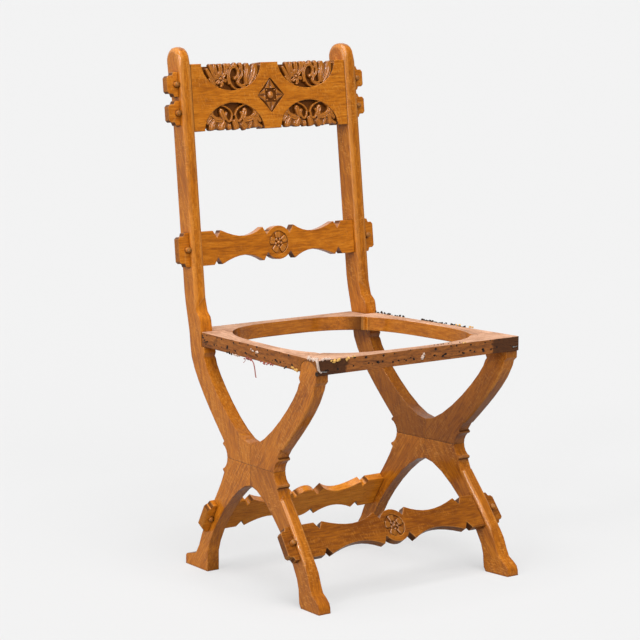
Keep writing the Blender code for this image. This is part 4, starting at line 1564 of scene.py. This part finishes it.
LOST_COVER = (
    Remnants(
        "seat_foam_crumbs",
        Spotted("foam", (0.55, 0.29, 0.07), (0.80, 0.50, 0.15)),
        (
            Tuft((-207, -246.6, 447), (-184, -246.6, 446), 8, 8.5),
            Tuft((-174, -246.6, 446.5), (-166, -246.6, 446.5), 3, 8.0),
            Tuft((-157, -245.5, 450), (-150, -245.5, 450), 2, 5.5),
            Tuft((101, -245.8, 449), (105, -245.8, 449), 2, 6.0),
            Tuft((-230.4, -168, 427), (-231.4, -190, 425), 6, 7.5),
            Tuft((225.6, -86, 451), (225.8, -92, 451), 2, 8.0),
            Tuft((228.0, -122, 451), (228.4, -128, 451), 2, 8.0),
        ),
        seed=3,
    ),
    Remnants(
        "seat_lint_white",
        Spotted("lint_white", (0.47, 0.32, 0.24), (0.76, 0.62, 0.53)),
        (
            Tuft((-238, -222, 450.4), (-228, -240, 450.6), 8, 8.0),
            Tuft((-230, -244.5, 450), (-208, -245.4, 450), 8, 7.0),
            Tuft((-220.9, -36, 440.6), (-222.4, -58, 439.2), 5, 7.0),
            Tuft((-216.2, 30, 424.6), (-218.0, 4, 423.4), 8, 6.0),
            Tuft((2.5, -247.0, 433), (4.5, -247.0, 441), 5, 8.0),
        ),
        (
            Strand(
                ((-238, -238, 451.6), (-238, -246, 450.6), (-238.4, -248.4, 447), (-237, -248.4, 440),
                 (-235.4, -248, 434.6), (-231.6, -247.8, 430.4), (-228, -247.4, 428.6)),
                1.5,
            ),
            Strand(
                ((-233, -240, 451.6), (-235.6, -247.2, 450.4), (-235.4, -248.6, 443), (-233.4, -248.2, 435),
                 (-231.8, -247.9, 431.8)),
                1.1,
            ),
        ),
        seed=5,
    ),
    Remnants(
        "seat_thread_red",
        Spotted("thread_red", (0.27, 0.08, 0.06), (0.46, 0.15, 0.12)),
        (
            Tuft((-219.6, -14, 422.6), (-221.0, -38, 423), 8, 6.0),
            Tuft((-222.6, -60, 423), (-226.0, -112, 422.8), 10, 5.5),
        ),
        (
            Strand(
                ((-220.6, -30, 424), (-221.4, -38, 422), (-221.8, -44, 417), (-222.0, -47, 410),
                 (-221.8, -48.4, 403), (-222.2, -50, 397), (-222.2, -52, 392)),
                1.0,
            ),
            Strand(((-219.4, -20, 423), (-219.8, -16, 419), (-219.2, -14, 416), (-219.6, -10, 413.4)), 0.5),
        ),
        seed=7,
    ),
    Remnants(
        "seat_tufts_dark_and_shade",
        Spotted("tuft_dark_and_shade", (0.020, 0.013, 0.010), (0.070, 0.046, 0.034)),
        (
            Tuft((210.2, 140, 450.2), (215.0, 60, 450.2), 20, 6.5),
            Tuft((218.6, 10, 450.2), (223.4, -60, 450.2), 14, 6.0),
            Tuft((224.2, -70, 450.2), (226.8, -112, 450.2), 10, 6.5),
            Tuft((-215.4, 46, 425.6), (-216.2, 30, 424.6), 5, 5.5),
            Tuft((-228.5, -144, 424.4), (-229.0, -152, 424.4), 2, 5.5),
            Tuft((36, -236, 450.2), (104, -242, 450.2), 9, 3.6),
            # Dark lumps beside the white yarn at the front-left corner: painted shade, dark things put
            # where there is shade.
            Tuft((-238.2, -246.6, 431), (-237, -246.6, 425), 4, 6.0),
            # Dark lumps at the rear-left corner: upholstery remains that also stand for the shade beside
            # them, so partly painted shade.
            Tuft((-209.6, 131, 444), (-210.3, 116, 428), 7, 5.5),
        ),
        seed=9,
    ),
    Remnants(
        "seat_staples",
        STAPLE_STEEL,
        (),
        (
            Strand(
                ((-229, -245.5, 430.4), (-229, -247.6, 430.2),
                 (-216, -247.6, 428.8), (-216, -245.5, 428.8)),
                0.9,
            ),
            Strand(((221, -245.5, 431), (221, -247.5, 431), (231, -247.5, 432), (231, -245.5, 432)), 0.7),
        ),
    ),
)


@dataclass
class HiddenDowels:
    """Dowels inside the joints, which keep their solids and get a turned-wood finish."""

    suffix: str = "_dowel"
    pale: Colour = (0.55, 0.35, 0.19)
    tan: Colour = (0.42, 0.24, 0.11)

    def build(self) -> None:
        """Dress every dowel in place."""
        for node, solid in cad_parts.items():
            if node.endswith(self.suffix):
                finish = BareOak(f"{node}_wood", run_of(node), self.pale, self.tan)
                solid.data.materials.clear()
                solid.data.materials.append(finish.build())
                LOG.info("%s: kept solid", node)


@dataclass(frozen=True)
class Lamp:
    """One broad, distant studio light."""

    name: str
    towards: tuple[float, float, float]
    strength: float
    spread: float

    def build(self, scene: bpy.types.Scene) -> None:
        """Hang the light.

        Args:
            scene: Where it hangs.
        """
        data = bpy.data.lights.new(self.name, "SUN")
        data.energy = self.strength
        data.angle = self.spread
        lamp = bpy.data.objects.new(self.name, data)
        lamp.rotation_euler = Vector(self.towards).to_track_quat("Z", "Y").to_euler()
        scene.collection.objects.link(lamp)


@dataclass
class Studio:
    """Pale floor, broad lights above, left and front, a small one upper left, and the viewpoint."""

    lens: float = 139.05
    sensor: float = 36.0
    eye: tuple[float, float, float] = (-2.8353, -3.5453, 1.1564)
    right: tuple[float, float, float] = (0.78542, -0.61893, 0.00621)
    up: tuple[float, float, float] = (0.08767, 0.12118, 0.98875)
    back: tuple[float, float, float] = (-0.61272, -0.77604, 0.14945)
    floor_front: float = 30.0
    floor_back: float = 60.0
    floor_half_width: float = 30.0
    white: float = 0.913
    paper: float = 0.905
    glow: float = 0.60
    floor_seen: Colour = (0.60, 0.60, 0.60)
    floor_bounce: Colour = (0.26, 0.26, 0.26)
    ambient: float = 0.10
    backdrop: tuple[float, float] = (0.0, 0.5)
    lamps: tuple[Lamp, ...] = (
        Lamp("overhead", (-0.12, -0.16, 0.98), 2.9, math.radians(52)),
        Lamp("left", (-0.96, -0.05, 0.25), 1.5, math.radians(40)),
        Lamp("front", (-0.22, -0.83, 0.50), 1.6, math.radians(40)),
        Lamp("upper_left", (-0.80, -0.28, 0.50), 0.5, math.radians(10)),
    )

    def build(self) -> None:
        """Set up the view, the camera, the floor and the light."""
        scene = bpy.context.scene
        scene.view_settings.view_transform = "Standard"
        self._camera(scene)
        self._floor()
        self._world(scene)
        for lamp in self.lamps:
            lamp.build(scene)

    def _camera(self, scene: bpy.types.Scene) -> None:
        """Place the camera.

        Args:
            scene: What it looks at.
        """
        data = bpy.data.cameras.new("camera")
        data.lens = self.lens
        data.sensor_width = self.sensor
        camera = bpy.data.objects.new("camera", data)
        axes = Matrix((self.right, self.up, self.back)).transposed().to_4x4()
        camera.matrix_world = Matrix.Translation(self.eye) @ axes
        scene.collection.objects.link(camera)
        scene.camera = camera

    def _floor(self) -> None:
        """Lay a pale sweep from just in front of the chair to far behind it, which keeps the shadows."""
        graph = Graph("studio_floor")
        bounce = graph.node("ShaderNodeBsdfDiffuse", None, {"Color": self.floor_bounce})
        lit = graph.node("ShaderNodeBsdfDiffuse", None, {"Color": self.floor_seen})
        paper = graph.node("ShaderNodeEmission", None, {"Strength": self.paper})
        seen = graph.node("ShaderNodeMixShader", None, {0: self.glow, 1: lit, 2: paper})
        camera = graph.node("ShaderNodeLightPath")
        graph.close(graph.node("ShaderNodeMixShader", None, {0: camera, 1: bounce, 2: seen}))
        mesh = bmesh.new()
        ahead = Vector((-self.back[0], -self.back[1], 0)).normalized()
        length = self.floor_front + self.floor_back
        size = Matrix.Diagonal((self.floor_half_width * 2, length, 1, 1))
        turn = ahead.to_track_quat("Y", "Z").to_matrix().to_4x4()
        middle = Matrix.Translation(ahead * (length / 2 - self.floor_front))
        bmesh.ops.create_grid(mesh, x_segments=1, y_segments=1, size=0.5, matrix=middle @ turn @ size)
        floor = helper("studio_floor", mesh)
        floor.data.materials.append(graph.owner)

    def _world(self, scene: bpy.types.Scene) -> None:
        """Set even fill light, with a white background behind the chair.

        Args:
            scene: What it lights.
        """
        scene.world = bpy.data.worlds.new("studio")
        graph = Graph("studio", scene.world)
        camera = graph.node("ShaderNodeLightPath")
        glossy = graph.node("ShaderNodeLightPath", output=GLOSSY_RAY)
        behind = graph.axis(graph.node("ShaderNodeTexCoord"), 1).step(*self.backdrop)
        strength = self.ambient + (camera + glossy * behind) * (self.white - self.ambient)
        shader = graph.node("ShaderNodeBackground", None, {"Color": (1.0, 1.0, 1.0), "Strength": strength})
        graph.close(shader, "ShaderNodeOutputWorld")


def main() -> None:
    """Build the chair's looks, piece by piece."""
    logging.basicConfig(level=logging.INFO, format="%(name)s %(message)s")
    SideFrame(Side.LEFT, LEFT_STICKS).build()
    SideFrame(Side.RIGHT, RIGHT_STICKS).build()
    CrestRail().build()
    ShapedRail("waist_rail", (0, -1, 0), -0.04).build()
    # The front stretcher's dark tone and stain, also on its rosette, are partly painted shade under the
    # seat; the rear stretcher's light tone is partly painted light.
    ShapedRail("front_stretcher", (0, -0.81, 0.59), -0.20, 0.42).build()
    ShapedRail("rear_stretcher", (0, 0.87, 0.5), 0.14, coat=0.25).build()
    Pegs(tuple(sorted(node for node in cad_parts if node.endswith("_peg")))).build()
    SeatFrame().build()
    for scraps in LOST_COVER:
        scraps.build()
    HiddenDowels().build()
    Studio().build()


if __name__ == "__main__":
    main()
